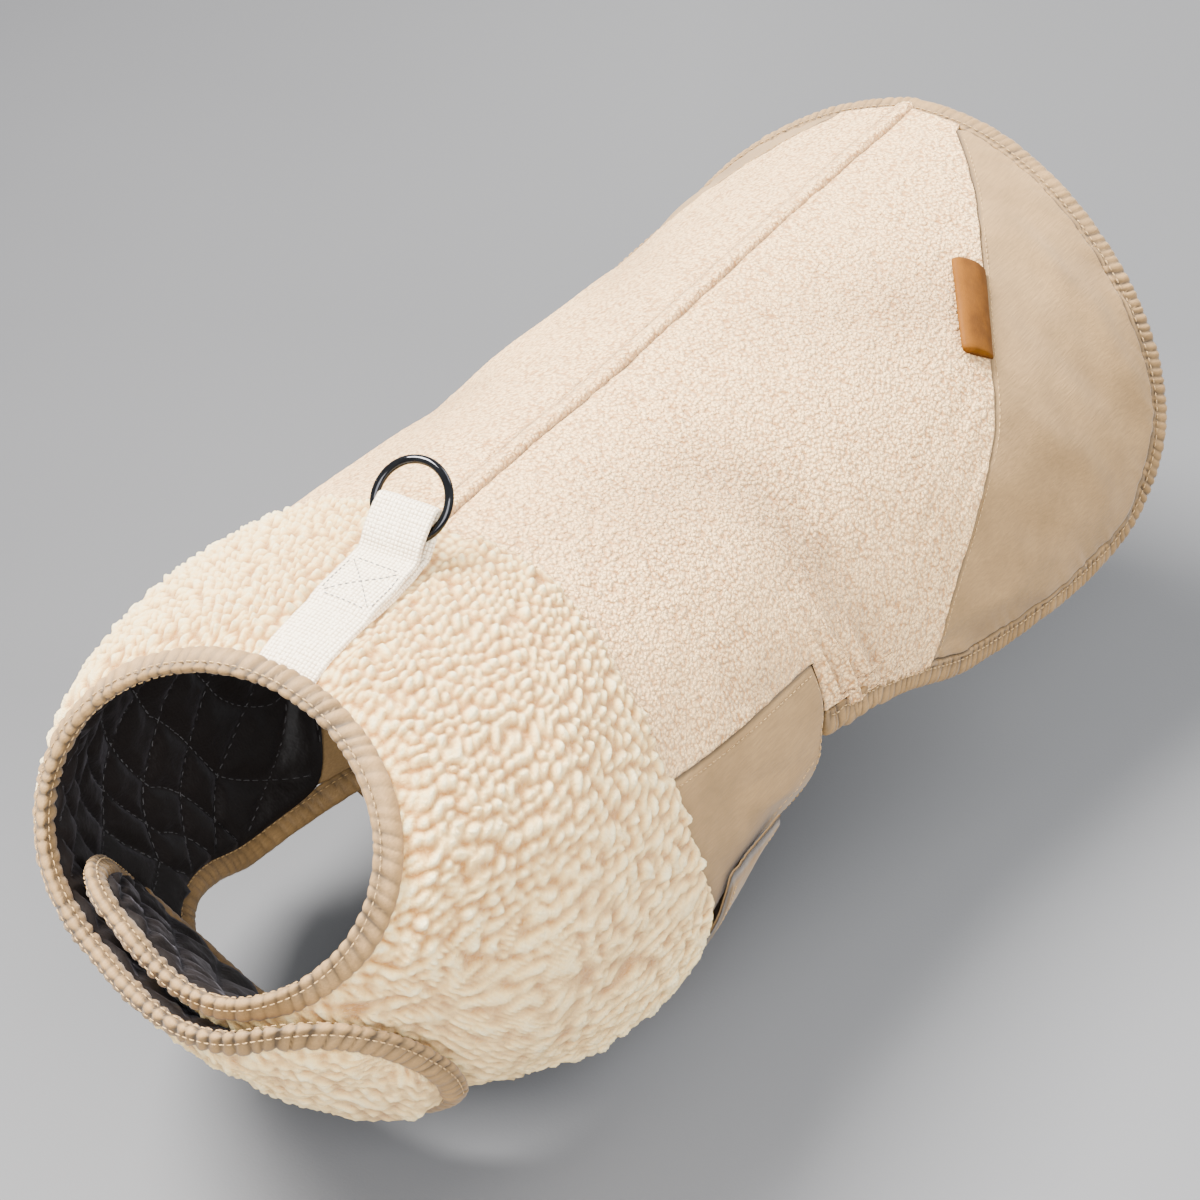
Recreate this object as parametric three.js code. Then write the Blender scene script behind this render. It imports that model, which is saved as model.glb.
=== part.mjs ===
// Dog winter coat, worn shape with no wearer, in millimetres.
// +Z up, the head end at -Y, the dog's left at +X. The origin is on the lining's inner face
// at the top of the back, above the middle of the belly strap, where the wearer's back carries it.
import * as THREE from 'three';

const DEG = Math.PI / 180;

// Body sections along the spine. u: place along the spine, x and z: place of the crest,
// lean: tilt of the section's plane in degrees, half: half width, crest: height above the widest line,
// belly: depth below it, upper and under: 2 is an ellipse, less is flatter-sided,
// roll: turn about the crest in degrees.
const SECTIONS = {
  neck: { u: -148, x: -4, z: -5, lean: 39, half: 62, crest: 51, belly: 51, upper: 2.0, under: 2.0, roll: 0 },
  collar: { u: -118, x: 0, z: 0, lean: 32, half: 81, crest: 66, belly: 70, upper: 2.05, under: 2.1, roll: 0 },
  yoke: { u: -84, x: 0, z: 2, lean: 18, half: 99, crest: 84, belly: 94, upper: 2.05, under: 2.3, roll: 1 },
  chest: { u: -45, x: 0, z: 2, lean: 6, half: 104, crest: 102, belly: 106, upper: 2.0, under: 2.4, roll: 1 },
  girth: { u: 0, x: 0, z: 2, lean: 0, half: 107, crest: 108, belly: 88, upper: 1.95, under: 1.5, roll: 2 },
  waist: { u: 60, x: 0, z: 0, lean: 0, half: 108, crest: 110, belly: 86, upper: 1.9, under: 1.5, roll: 3 },
  loin: { u: 130, x: 0, z: 1, lean: 0, half: 114, crest: 114, belly: 104, upper: 1.85, under: 2.0, roll: 5 },
  rump: { u: 210, x: 0, z: 2, lean: 0, half: 121, crest: 120, belly: 104, upper: 1.85, under: 2.0, roll: 8 },
  tail: { u: 300, x: 0, z: 2, lean: 0, half: 127, crest: 122, belly: 104, upper: 1.9, under: 2.0, roll: 9 },
};

// Outlines and seams, as points of turn t (degrees round the body from the spine) and u.
const NECK_U = -148;
const SHERPA_REAR = [
  { t: 0, u: -56 }, { t: 10, u: -54 }, { t: 20, u: -51 }, { t: 34, u: -52 }, { t: 50, u: -57 },
  { t: 65, u: -57 }, { t: 76, u: -53 }, { t: 88, u: -47 }, { t: 101, u: -38 }, { t: 126, u: -35 },
];
const STRAP_TOP_T = 71;
const STRAP_REAR = [
  { t: 71, u: 33 }, { t: 79, u: 34 }, { t: 87, u: 30 }, { t: 110, u: 25 },
  { t: 150, u: 22 }, { t: 215, u: 20 },
];
const CORNER_SEAM = [
  { t: 13.5, u: 302 }, { t: 25.7, u: 268 }, { t: 35.8, u: 236 }, { t: 48.2, u: 201 }, { t: 60, u: 176 },
  { t: 71, u: 144 }, { t: 82, u: 118 }, { t: 94.5, u: 103 },
];
const TAIL_EDGE = [
  { t: 0, u: 319 }, { t: 20, u: 313 }, { t: 34, u: 305 }, { t: 48, u: 297 }, { t: 62, u: 290 },
  { t: 73, u: 284 }, { t: 84, u: 276 }, { t: 95, u: 262 }, { t: 102, u: 248 }, { t: 105.5, u: 232 },
  { t: 106.5, u: 210 }, { t: 106.5, u: 182 }, { t: 105.5, u: 154 }, { t: 103, u: 126 }, { t: 99.5, u: 98 },
  { t: 94.5, u: 64 }, { t: 90, u: 40 }, { t: 88.6, u: 31.5 },
];
// The chest flap's edge from under the throat round its end, back, and up the leg opening;
// lower: how much further round the point lies on the left side
const FLAP_EDGE = [
  { t: 180, u: -148 }, { t: 206, u: -148 }, { t: 222, u: -146 }, { t: 232, u: -138 }, { t: 236, u: -123 },
  { t: 234, u: -106 }, { t: 226, u: -95 }, { t: 213, u: -88 }, { t: 195, u: -86 }, { t: 176, u: -85 },
  { t: 158, u: -83, lower: 3 }, { t: 144, u: -77, lower: 8 }, { t: 134, u: -68, lower: 13 },
  { t: 130.5, u: -59, lower: 13 }, { t: 130.5, u: -48, lower: 8 }, { t: 131.5, u: -34, lower: 2 },
  { t: 134, u: -20 },
];

// Walls: offsets out from the lining's seat (negative is inside)
const GAP = 0.3;
const FLEECE_OUT = 2.8;
const TWILL_OUT = 2.3;
const SHERPA_OUT = 8;
const SHERPA_PRESSED = 4;
const LINING_BACK = 1.3;
const LINING_STITCHED = 2.4;
const LINING_PUFF = 4.1;
const BINDING = { width: 10, thick: 4.3, offset: 1.6, sides: 6 };
const LEG_BINDING = { ...BINDING, thick: 2.7, offset: 0.2 };
const TAIL_BINDING = { ...BINDING, thick: 3.4, offset: 0.8, spread: 0 };
const GATHERS = { neck: 63, tail: 110 };
const FLAP_SPREAD = 11.6;
const STRAP_SPREAD = 6;
const OVERLAP = { from: 150, to: 210 };

// Trim
const WELT = { left: 3.6, right: 4.4, height: 5 };
const WEBBING = { width: 23.6, thick: 1.8, x: 5 };
const RING = { wire: 3.2, centreRadius: 14, centre: [5, -68.5, 24.6], lean: 40 };
const TAPE_THICK = 0.9;
const TAB = { from: 196, to: 228.5, setBack: 1.6 };

const COLOURS = {
  fleece: [0xe6d3bf, 1.0, 0], sherpa: [0xf3e2c4, 1.0, 0], twill: [0xb59d80, 0.9, 0],
  binding: [0xa98e6e, 0.85, 0], lining: [0x1d1b20, 0.6, 0], webbing: [0xf1eade, 0.95, 0],
  metal: [0x2a2a2c, 0.25, 1], leather: [0xb87a42, 0.6, 0],
  tape: [0x17171a, 0.95, 0],
};

// A smooth curve through the points that never overshoots them
function monotone(xs, ys) {
  const n = xs.length;
  const h = [];
  const slope = [];
  for (let k = 0; k < n - 1; k++) {
    h.push(xs[k + 1] - xs[k]);
    slope.push((ys[k + 1] - ys[k]) / h[k]);
  }
  const d = new Array(n).fill(0);
  for (let k = 1; k < n - 1; k++) {
    if (slope[k - 1] * slope[k] > 0) {
      const a = 2 * h[k] + h[k - 1];
      const b = h[k] + 2 * h[k - 1];
      d[k] = (a + b) / (a / slope[k - 1] + b / slope[k]);
    }
  }
  d[0] = slope[0];
  d[n - 1] = slope[n - 2];
  return (x) => {
    const c = Math.min(Math.max(x, xs[0]), xs[n - 1]);
    let k = 0;
    while (k < n - 2 && c > xs[k + 1]) k++;
    const s = (c - xs[k]) / h[k];
    const s2 = s * s;
    const s3 = s2 * s;
    return ys[k] * (2 * s3 - 3 * s2 + 1) + d[k] * h[k] * (s3 - 2 * s2 + s)
      + ys[k + 1] * (3 * s2 - 2 * s3) + d[k + 1] * h[k] * (s3 - s2);
  };
}

const rows = Object.values(SECTIONS);
const along = {};
for (const key of Object.keys(rows[0])) {
  along[key] = monotone(rows.map((r) => r.u), rows.map((r) => r[key]));
}

const signedPower = (x, p) => Math.sign(x) * Math.abs(x) ** p;
const smooth = (x) => {
  const c = Math.min(Math.max(x, 0), 1);
  return c * c * (3 - 2 * c);
};
const mix = (a, b, f) => a + (b - a) * f;
const spaced = (count, at) => Array.from({ length: count + 1 }, (_, k) => at(k / count));

// The seat of the lining at station u and turn t
function seat(u, t) {
  const half = along.half(u);
  const crest = along.crest(u);
  const c = Math.cos(t * DEG);
  const s = Math.sin(t * DEG);
  const power = 2 / (c >= 0 ? along.upper(u) : along.under(u));
  const x = half * signedPower(s, power);
  const v = (c >= 0 ? crest : along.belly(u)) * signedPower(c, power) - crest;
  const roll = along.roll(u) * DEG;
  const lean = along.lean(u) * DEG;
  const across = x * Math.cos(roll) - v * Math.sin(roll);
  const up = x * Math.sin(roll) + v * Math.cos(roll);
  return new THREE.Vector3(across + along.x(u), u + up * Math.sin(lean), along.z(u) + up * Math.cos(lean));
}

function outward(u, t) {
  const du = seat(u + 0.5, t).sub(seat(u - 0.5, t));
  const dt = seat(u, t + 0.5).sub(seat(u, t - 0.5));
  return dt.cross(du).normalize();
}

// A point raised by off from the seat
function raised(u, t, off) {
  return seat(u, t).addScaledVector(outward(u, t), off);
}

// The turn whose point lies x to the side of the spine
function turnAt(u, x) {
  return Math.sign(x) * Math.asin((Math.abs(x) / along.half(u)) ** (along.upper(u) / 2)) / DEG;
}

// Arc-length curve through {t, u} points, in millimetres on a body of middling width
const MM_PER_DEGREE = 1.9;
function path(points) {
  const curve = new THREE.CatmullRomCurve3(
    points.map((p) => new THREE.Vector3(p.t * MM_PER_DEGREE, p.u, 0)), false, 'centripetal');
  curve.arcLengthDivisions = 400;
  return curve;
}

// A point moved right of its direction by so many millimetres on the seat
function moved(side, point, direction, distance) {
  let { t, u } = point;
  const steps = 4;
  for (let k = 0; k < steps && distance !== 0; k++) {
    const turnwise = seat(u, side * (t + 0.5)).sub(seat(u, side * (t - 0.5)));
    const lengthwise = seat(u + 0.5, side * t).sub(seat(u - 0.5, side * t));
    const [g11, g12, g22] = [turnwise.dot(turnwise), turnwise.dot(lengthwise), lengthwise.dot(lengthwise)];
    const a = g12 * direction.t + g22 * direction.u;
    const b = -(g11 * direction.t + g12 * direction.u);
    const scale = distance / steps / Math.sqrt(a * a * g11 + 2 * a * b * g12 + b * b * g22);
    t += a * scale;
    u += b * scale;
  }
  return { t, u };
}

// The point a fraction f along the path, moved inset mm to the path's right
function pathPoint(curve, f, inset = 0, side = 1) {
  const p = curve.getPointAt(f);
  const d = curve.getTangentAt(f);
  return moved(side, { t: p.x / MM_PER_DEGREE, u: p.y }, { t: d.x / MM_PER_DEGREE, u: d.y }, inset);
}

// u as a function of t on a seam whose points run one way round
function seam(points) {
  return monotone(points.map((p) => p.t), points.map((p) => p.u));
}

function solid(vertices, triangles) {
  let volume = 0;
  for (const [a, b, c] of triangles) volume += vertices[a].dot(vertices[b].clone().cross(vertices[c]));
  const faces = volume < 0 ? triangles.map(([a, b, c]) => [a, c, b]) : triangles;
  const geometry = new THREE.BufferGeometry();
  const places = vertices.flatMap((v) => v.toArray());
  geometry.setAttribute('position', new THREE.Float32BufferAttribute(places, 3));
  geometry.setIndex(faces.flat());
  geometry.computeVertexNormals();
  return geometry;
}

// A cloth wall over a grid of columns and rows: inner and outer give the two faces' points, keep picks
// the cells, and slant picks each cell's diagonal
function wall({ columns, rows: rowCount, inner, outer, keep = () => true, slant = () => false }) {
  const vertices = [];
  const index = new Map();
  const vertex = (face, i, j) => {
    const key = `${face},${i},${j}`;
    if (!index.has(key)) {
      index.set(key, vertices.length);
      vertices.push((face ? outer : inner)(i, j));
    }
    return index.get(key);
  };
  const kept = (i, j) => i >= 0 && j >= 0 && i < columns && j < rowCount && keep(i, j);
  const triangles = [];
  const edge = (i0, j0, i1, j1) => {
    const [a, b, c, d] = [vertex(1, i0, j0), vertex(1, i1, j1), vertex(0, i1, j1), vertex(0, i0, j0)];
    triangles.push([b, a, d], [b, d, c]);
  };
  for (let i = 0; i < columns; i++) {
    for (let j = 0; j < rowCount; j++) {
      if (!kept(i, j)) continue;
      for (const face of [0, 1]) {
        const corners = [[i, j], [i + 1, j], [i + 1, j + 1], [i, j + 1]];
        const [a, b, c, d] = corners.map(([p, q]) => vertex(face, p, q));
        const pair = slant(i, j) ? [[a, b, d], [b, c, d]] : [[a, b, c], [a, c, d]];
        triangles.push(...(face ? pair : pair.map(([p, q, r]) => [p, r, q])));
      }
      if (!kept(i, j - 1)) edge(i, j, i + 1, j);
      if (!kept(i + 1, j)) edge(i + 1, j, i + 1, j + 1);
      if (!kept(i, j + 1)) edge(i + 1, j + 1, i, j + 1);
      if (!kept(i - 1, j)) edge(i, j + 1, i, j);
    }
  }
  return solid(vertices, triangles);
}

// A closed bar through rings of points
function bar(rings) {
  const sides = rings[0].length;
  const vertices = rings.flat();
  const triangles = [];
  for (let k = 0; k < rings.length - 1; k++) {
    for (let a = 0; a < sides; a++) {
      const b = (a + 1) % sides;
      const [p, q] = [k * sides, (k + 1) * sides];
      triangles.push([p + a, p + b, q + b], [p + a, q + b, q + a]);
    }
  }
  const last = (rings.length - 1) * sides;
  for (let a = 1; a < sides - 1; a++) {
    triangles.push([0, a + 1, a], [last, last + a, last + a + 1]);
  }
  return solid(vertices, triangles);
}

// How far a piece of one side moves out where the two chest flaps, or the two straps, lie on each other:
// the right one goes outside, the left one inside
function overlapShift(side, turn, spread) {
  return -side * spread * smooth((turn - OVERLAP.from) / (OVERLAP.to - OVERLAP.from));
}

// A point of a left piece (side 1) or of its mirror image (side -1)
function sided(side, u, turn, off, spread = 0) {
  return raised(u, side * turn, off + overlapShift(side, turn, spread));
}

const group = new THREE.Group();
function add(name, geometry, [color, roughness, metalness]) {
  const mesh = new THREE.Mesh(geometry, new THREE.MeshStandardMaterial({ color, roughness, metalness }));
  mesh.name = name;
  group.add(mesh);
}

const sideName = (side) => (side > 0 ? 'left' : 'right');
const sherpaRear = seam(SHERPA_REAR);
const strapRear = seam(STRAP_REAR);
const cornerSeam = seam(CORNER_SEAM);
const tailEdge = path(TAIL_EDGE);
const flapEdges = {
  left: path(FLAP_EDGE.map(({ t, u, lower = 0 }) => ({ t: t + lower, u }))),
  right: path(FLAP_EDGE),
};
const flapEdgePoint = (side, f, inset) => pathPoint(flapEdges[sideName(side)], f, -inset, side);
const neckLine = (side, turn, inset) => moved(side, { t: turn, u: NECK_U }, { t: -1, u: 0 }, inset).u;

// Seams read off the flap edge's inner line: u at a turn along the flap's front and along its rear,
// the turn at u along the leg opening, and the corner between the two
const BOUND_EDGE = BINDING.width + GAP;
const FLAP_CORNER_U = -74;
const FLAP_EASE = { left: 0.6, right: 0.2 };
function flapSeams(side) {
  const points = spaced(90, (f) => flapEdgePoint(side, f, BOUND_EDGE + FLAP_EASE[sideName(side)]));
  const tip = points.reduce((best, p, k) => (p.t > points[best].t ? k : best), 0);
  const legStart = points.findIndex((p, k) => k > tip && p.u > FLAP_CORNER_U);
  const leg = points.slice(legStart);
  return {
    front: seam(points.slice(0, tip)),
    rear: seam(points.slice(tip + 1, legStart + 1).reverse()),
    corner: points[legStart],
    leg: monotone(leg.map((p) => p.u), leg.map((p) => p.t)),
  };
}
const flapSeam = { left: flapSeams(1), right: flapSeams(-1) };

// Turn of the spine seam's edge on each side of the welt
const spineTurn = (side, u, gap) => Math.abs(turnAt(u, side > 0 ? WELT.right + gap : -WELT.left - gap));

// u of the tail edge's inner line at a turn on the upper part
const tailInner = seam(spaced(20, (f) => pathPoint(tailEdge, mix(0, 0.5, f), BINDING.width + GAP)));

// The lower edge of the side flap inside its binding, as u at a turn and, up to the rear corner, turn at u
const lowerInner = seam(spaced(16, (f) => pathPoint(tailEdge, mix(1, 0.76, f), BINDING.width + 1)));
const LOWER_START_U = 35;
const LINING_TAIL_TURN = 93;
const lowerPoints = spaced(40, (f) => pathPoint(tailEdge, mix(1, 0.47, f), BINDING.width + GAP));
const tailTurn = monotone(lowerPoints.map((p) => p.u), lowerPoints.map((p) => p.t));

function fleeceBack(side) {
  const turns = [0, 8, 16, 24, 32, 40, 48, 56, 64, STRAP_TOP_T, 77, 83, 84.5, 86, 88, 90, 92, 94];
  const front = 5;
  const rear = 13;
  const strapColumn = turns.indexOf(STRAP_TOP_T);
  const point = (i, j) => {
    const turn = turns[i];
    const end = Math.min(turn < CORNER_SEAM[0].t ? 400 : cornerSeam(turn) - GAP, tailInner(turn));
    const step = turn < STRAP_TOP_T ? strapRear(STRAP_TOP_T)
      : Math.max(strapRear(turn) + GAP, turn > 82 ? lowerInner(turn) : -400);
    const u = j <= front ? mix(sherpaRear(turn) + GAP, step, j / front)
      : mix(step, end, (j - front) / rear);
    return { u, turn: Math.max(turn, spineTurn(side, u, GAP)) };
  };
  const face = (off) => (i, j) => {
    const { u, turn } = point(i, j);
    return sided(side, u, turn, off);
  };
  return wall({
    columns: turns.length - 1, rows: front + rear, inner: face(GAP), outer: face(FLEECE_OUT),
    keep: (i, j) => i < strapColumn || j >= front,
  });
}
for (const side of [1, -1]) add(`back_${sideName(side)}`, fleeceBack(side), COLOURS.fleece);

// Raised welt over the centre-back seam
function centreWelt() {
  const steps = 14;
  const start = sherpaRear(0) + GAP;
  const end = tailInner(0);
  const rings = [];
  for (let k = 0; k <= steps; k++) {
    const u = mix(start, end, k / steps);
    const profile = [
      [-WELT.left, GAP], [WELT.right, GAP], [WELT.right, WELT.height - 0.8], [WELT.right - 1.2, WELT.height],
      [-WELT.left + 2, WELT.height - 0.4], [-WELT.left, FLEECE_OUT],
    ];
    rings.push(profile.map(([x, off]) => raised(u, turnAt(u, x), off)));
  }
  return bar(rings);
}
add('centre_welt', centreWelt(), COLOURS.fleece);

// Rear corner panel between the diagonal seam and the tail binding
function cornerPanel(side) {
  const steps = 20;
  const across = 7;
  const seamPath = path(CORNER_SEAM);
  const edgeStart = 0.085;
  const edgeEnd = 0.83;
  const face = (off) => (i, j) => {
    const f = i / steps;
    const a = pathPoint(seamPath, mix(0.015, 0.985, f), -GAP);
    const b = pathPoint(tailEdge, mix(edgeStart, edgeEnd, f), BINDING.width + 0.7);
    return sided(side, mix(a.u, b.u, j / across), mix(a.t, b.t, j / across), off);
  };
  return wall({ columns: steps, rows: across, inner: face(GAP), outer: face(TWILL_OUT) });
}
for (const side of [1, -1]) add(`corner_${sideName(side)}`, cornerPanel(side), COLOURS.twill);

// Toward the leg opening the rows of the yoke and of its lining swing down to the flap's corner
const FLAP_REAR_U = -102;
const YOKE_REAR_U = -46;
const FLAP_TOP_TURN = 222;
const towardLeg = (side, turn) => smooth((turn - 88) / (flapSeam[sideName(side)].corner.t - 88));
const flapRow = (side, turn) => {
  const { rear, corner } = flapSeam[sideName(side)];
  return turn < corner.t ? mix(FLAP_REAR_U, corner.u, towardLeg(side, turn)) : rear(turn) - GAP;
};

// How far the curly pile of a yoke reaches: pressed under the webbing and between the flaps
function pileReach(side, u, turn) {
  const x = side * (Math.abs(turn) < 60 ? seat(u, turn).x : 99);
  const fromWebbing = Math.abs(x - WEBBING.x) - WEBBING.width / 2;
  const pressed = Math.max(1 - smooth((fromWebbing - 0.8) / 6), side > 0 ? smooth((turn - 117) / 8) : 0);
  return mix(SHERPA_OUT, SHERPA_PRESSED, pressed);
}

const SPINE_START = 0.2;
function yoke(side) {
  const spineTurns = side > 0 ? [SPINE_START, 5, 9.6, 13, 18] : [SPINE_START, 3.6, 7.4, 12, 18];
  const { front: frontOf, leg: legOf, corner: { t: legTop } } = flapSeam[sideName(side)];
  const sideTurns = spaced(11, (f) => mix(26, legTop, f));
  const flapTurns = spaced(9, (f) => mix(legTop, FLAP_TOP_TURN, f)).slice(1);
  const turns = [...spineTurns, ...sideTurns, ...flapTurns];
  const legColumn = turns.indexOf(legTop);
  const band = 4;
  const body = 5;
  const front = (turn) => (turn < 184 ? neckLine(side, turn, BOUND_EDGE) : frontOf(turn));
  const place = (i, j) => {
    const turn = turns[i];
    const row = flapRow(side, turn);
    const u = j <= band ? mix(front(turn), row, j / band)
      : mix(row, sherpaRear(turn) - GAP, (j - band) / body);
    return { u, turn: mix(turn, legOf(u), j > band ? towardLeg(side, turn) : 0) };
  };
  const edgeSoft = (i, j) => {
    const last = i <= legColumn ? band + body : band;
    return j === last || i === turns.length - 1 || (i === legColumn && j > band);
  };
  return wall({
    columns: turns.length - 1, rows: band + body,
    inner: (i, j) => {
      const { u, turn } = place(i, j);
      return sided(side, u, turn, GAP + smooth((turns[i] - 75) / 25), FLAP_SPREAD);
    },
    outer: (i, j) => {
      const { u, turn } = place(i, j);
      const soft = j === 0 ? 3.2 : Math.max(1.5 * edgeSoft(i, j), 3 * smooth((turns[i] - 200) / 22));
      const off = Math.max(pileReach(side, u, turns[i]) - soft, SHERPA_PRESSED - 0.5);
      return sided(side, u, turn, off, FLAP_SPREAD);
    },
    keep: (i, j) => i < legColumn || j < band,
  });
}
for (const side of [1, -1]) add(`sherpa_${sideName(side)}`, yoke(side), COLOURS.sherpa);

// Belly panel and strap: from its seam under the fleece to the overlap below the belly
function bellyStrap(side) {
  const endTurn = side > 0 ? 208 : 262;
  const panelTurns = [STRAP_TOP_T + 0.2, 79, 87, 95, 103, 111, 118, 123.5, 131];
  const turns = [...panelTurns, ...spaced(12, (f) => mix(139, endTurn, f))];
  const frontRows = [
    { t: 71, u: -55 }, { t: 80, u: -51 }, { t: 88, u: -47 }, { t: 101, u: -38 }, { t: 118, u: -35.4 },
    { t: 123.5, u: -34 }, { t: 127, u: -22 }, { t: 132, u: -12 }, { t: 145, u: -11 }, { t: 215, u: -11 },
  ];
  const front = seam(frontRows);
  const skew = (turn) => (side > 0 ? 0 : -18 * smooth((turn - 150) / 100));
  const across = 6;
  const columns = turns.length - 1;
  const face = (off) => (i, j) => {
    const turn = turns[i];
    const a = front(turn) + (turn < 122 ? GAP : 0);
    const b = strapRear(turn) - GAP - mix(0, 5, smooth((turn - 100) / 90));
    return sided(side, mix(a, b, j / across) + skew(turn), turn, off, STRAP_SPREAD);
  };
  return wall({ columns, rows: across, inner: face(GAP), outer: face(TWILL_OUT) });
}
for (const side of [1, -1]) add(`belly_strap_${sideName(side)}`, bellyStrap(side), COLOURS.twill);

// Quilted lining: stitched low on the crossings and puffed inward between them
function lining(side) {
  const bodyColumns = 12;
  const flapColumns = 9;
  const frontRows = 4;
  const yokeRows = 4;
  const rearRows = 20;
  const { front: frontOf, leg: legOf, corner: { t: legTop } } = flapSeam[sideName(side)];
  const overStrap = monotone(
    [-34, -10, 18, 30, LOWER_START_U + 8], [legOf(-34), 114, 94, 82.5, tailTurn(LOWER_START_U + 8)]);
  const edgeTurn = (u) => {
    if (u < -34) return Math.min(legOf(u), legTop);
    return u < LOWER_START_U + 8 ? overStrap(u) : tailTurn(u);
  };
  const widest = (u) => edgeTurn(u) - 1.2;
  const place = (i, j) => {
    const share = Math.min(i / bodyColumns, 1);
    const end = tailInner(share * LINING_TAIL_TURN) - 2;
    const row = flapRow(side, share * legTop);
    const flapTurn = mix(legTop, FLAP_TOP_TURN, (i - bodyColumns) / flapColumns);
    if (i > bodyColumns) {
      const start = flapTurn < 184 ? neckLine(side, flapTurn, BOUND_EDGE) : frontOf(flapTurn);
      return { u: mix(start, flapRow(side, flapTurn), j / frontRows), turn: flapTurn };
    }
    const start = neckLine(side, share * legTop, BOUND_EDGE);
    const u = j <= frontRows ? mix(start, row, j / frontRows)
      : j <= frontRows + yokeRows ? mix(row, YOKE_REAR_U, (j - frontRows) / yokeRows)
        : mix(YOKE_REAR_U, end, (j - frontRows - yokeRows) / (rearRows - yokeRows));
    return { u, turn: mix(0.15, widest(u), share) };
  };
  const onEdge = (i, j) => j === 0 || i === 0 || i === bodyColumns + flapColumns
    || (i > bodyColumns ? j === frontRows : j === frontRows + rearRows)
    || (i === bodyColumns && j >= frontRows);
  const depth = (i, j) => ((i + j) % 2 === 1 && !onEdge(i, j) ? LINING_PUFF : LINING_STITCHED);
  const face = (off) => (i, j) => {
    const { u, turn } = place(i, j);
    return sided(side, u, turn, off(i, j), FLAP_SPREAD);
  };
  return wall({
    columns: bodyColumns + flapColumns, rows: frontRows + rearRows,
    inner: face((i, j) => -depth(i, j)), outer: face(() => -LINING_BACK),
    keep: (i, j) => i < bodyColumns || j < frontRows,
    slant: (i, j) => (i + j) % 2 === 1,
  });
}
for (const side of [1, -1]) add(`lining_${sideName(side)}`, lining(side), COLOURS.lining);

// Binding: a rolled strip round an edge. stations lists side, turn, u and the edge's own direction,
// and each gather is one full and one drawn-in ring
function binding(stations, { width, thick, offset, sides, gathers = 0, spread = FLAP_SPREAD }) {
  const centres = stations.map(({ side, turn, u }) => sided(side, u, turn, offset, spread));
  const rings = stations.map(({ side, turn, u }, k) => {
    const ahead = centres[Math.min(k + 1, centres.length - 1)];
    const heading = ahead.clone().sub(centres[Math.max(k - 1, 0)]).normalize();
    const normal = outward(u, side * turn);
    const across = new THREE.Vector3().crossVectors(heading, normal).normalize();
    const swell = gathers ? (k % 2 ? 1.08 : 0.92) : 1;
    return Array.from({ length: sides }, (_, a) => {
      const angle = ((a + 0.5) / sides) * 2 * Math.PI;
      const w = width / 2 * signedPower(Math.cos(angle), 0.7);
      const h = thick * swell * signedPower(Math.sin(angle), 0.8);
      return centres[k].clone().addScaledVector(across, w).addScaledVector(normal, h);
    });
  });
  return bar(rings);
}

// Neck binding: from the end of the left flap, up round the neck and down to the end of the right flap
function neckBinding() {
  const halfWidth = BINDING.width / 2;
  const flapShare = 0.4;
  const oneSide = (side) => [
    ...spaced(40, (f) => ({ side, turn: f * 180, u: neckLine(side, f * 180, halfWidth) })).slice(0, -1),
    ...spaced(24, (f) => {
      const p = flapEdgePoint(side, f * flapShare, halfWidth);
      return { side, turn: p.t, u: p.u };
    }),
  ];
  return [...oneSide(1).reverse(), ...oneSide(-1).slice(1)];
}
add('neck_binding', binding(neckBinding(), { ...BINDING, gathers: GATHERS.neck }), COLOURS.binding);

// Leg opening binding: the flap's rear edge and up round the yoke's lower edge
function legBinding(side) {
  return spaced(34, (f) => {
    const p = flapEdgePoint(side, mix(0.408, 0.985, f), BINDING.width / 2);
    return { side, turn: p.t, u: p.u };
  });
}
for (const side of [1, -1]) {
  add(`leg_binding_${sideName(side)}`, binding(legBinding(side), LEG_BINDING), COLOURS.binding);
}

// Tail binding: round the whole rear edge, from one strap to the other
function tailBinding() {
  const oneSide = (side) => spaced(110, (f) => {
    const p = pathPoint(tailEdge, f * 0.998, BINDING.width / 2, side);
    return { side, turn: p.t, u: p.u };
  });
  return [...oneSide(1).reverse(), ...oneSide(-1).slice(1)];
}
add('tail_binding', binding(tailBinding(), { ...TAIL_BINDING, gathers: GATHERS.tail }), COLOURS.binding);

// A flat strip along centres in the plane x = 0 with outward directions, extruded across x
function strip(points, thick, width, x, drop = () => 0) {
  const lanes = [-0.5, 0, 0.5];
  const rings = points.map((p, k) => {
    const q = points[Math.min(k + 1, points.length - 1)];
    const r = points[Math.max(k - 1, 0)];
    const d = new THREE.Vector2(q[0] - r[0], q[1] - r[1]).normalize();
    const corner = (lane, face) => new THREE.Vector3(x + lane * width,
      p[0] - d.y * face * thick / 2, p[1] + d.x * face * thick / 2 - drop(k, x + lane * width));
    const back = [...lanes].reverse();
    return [...lanes.map((lane) => corner(lane, 1)), ...back.map((lane) => corner(lane, -1))];
  });
  return bar(rings);
}

// The ring's own directions: s runs down in its plane, d is its normal
const ringLean = RING.lean * DEG;
const ringPoint = (s, d) => [
  RING.centre[1] - s * Math.sin(ringLean) - d * Math.cos(ringLean),
  RING.centre[2] - s * Math.cos(ringLean) + d * Math.sin(ringLean),
];

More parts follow.
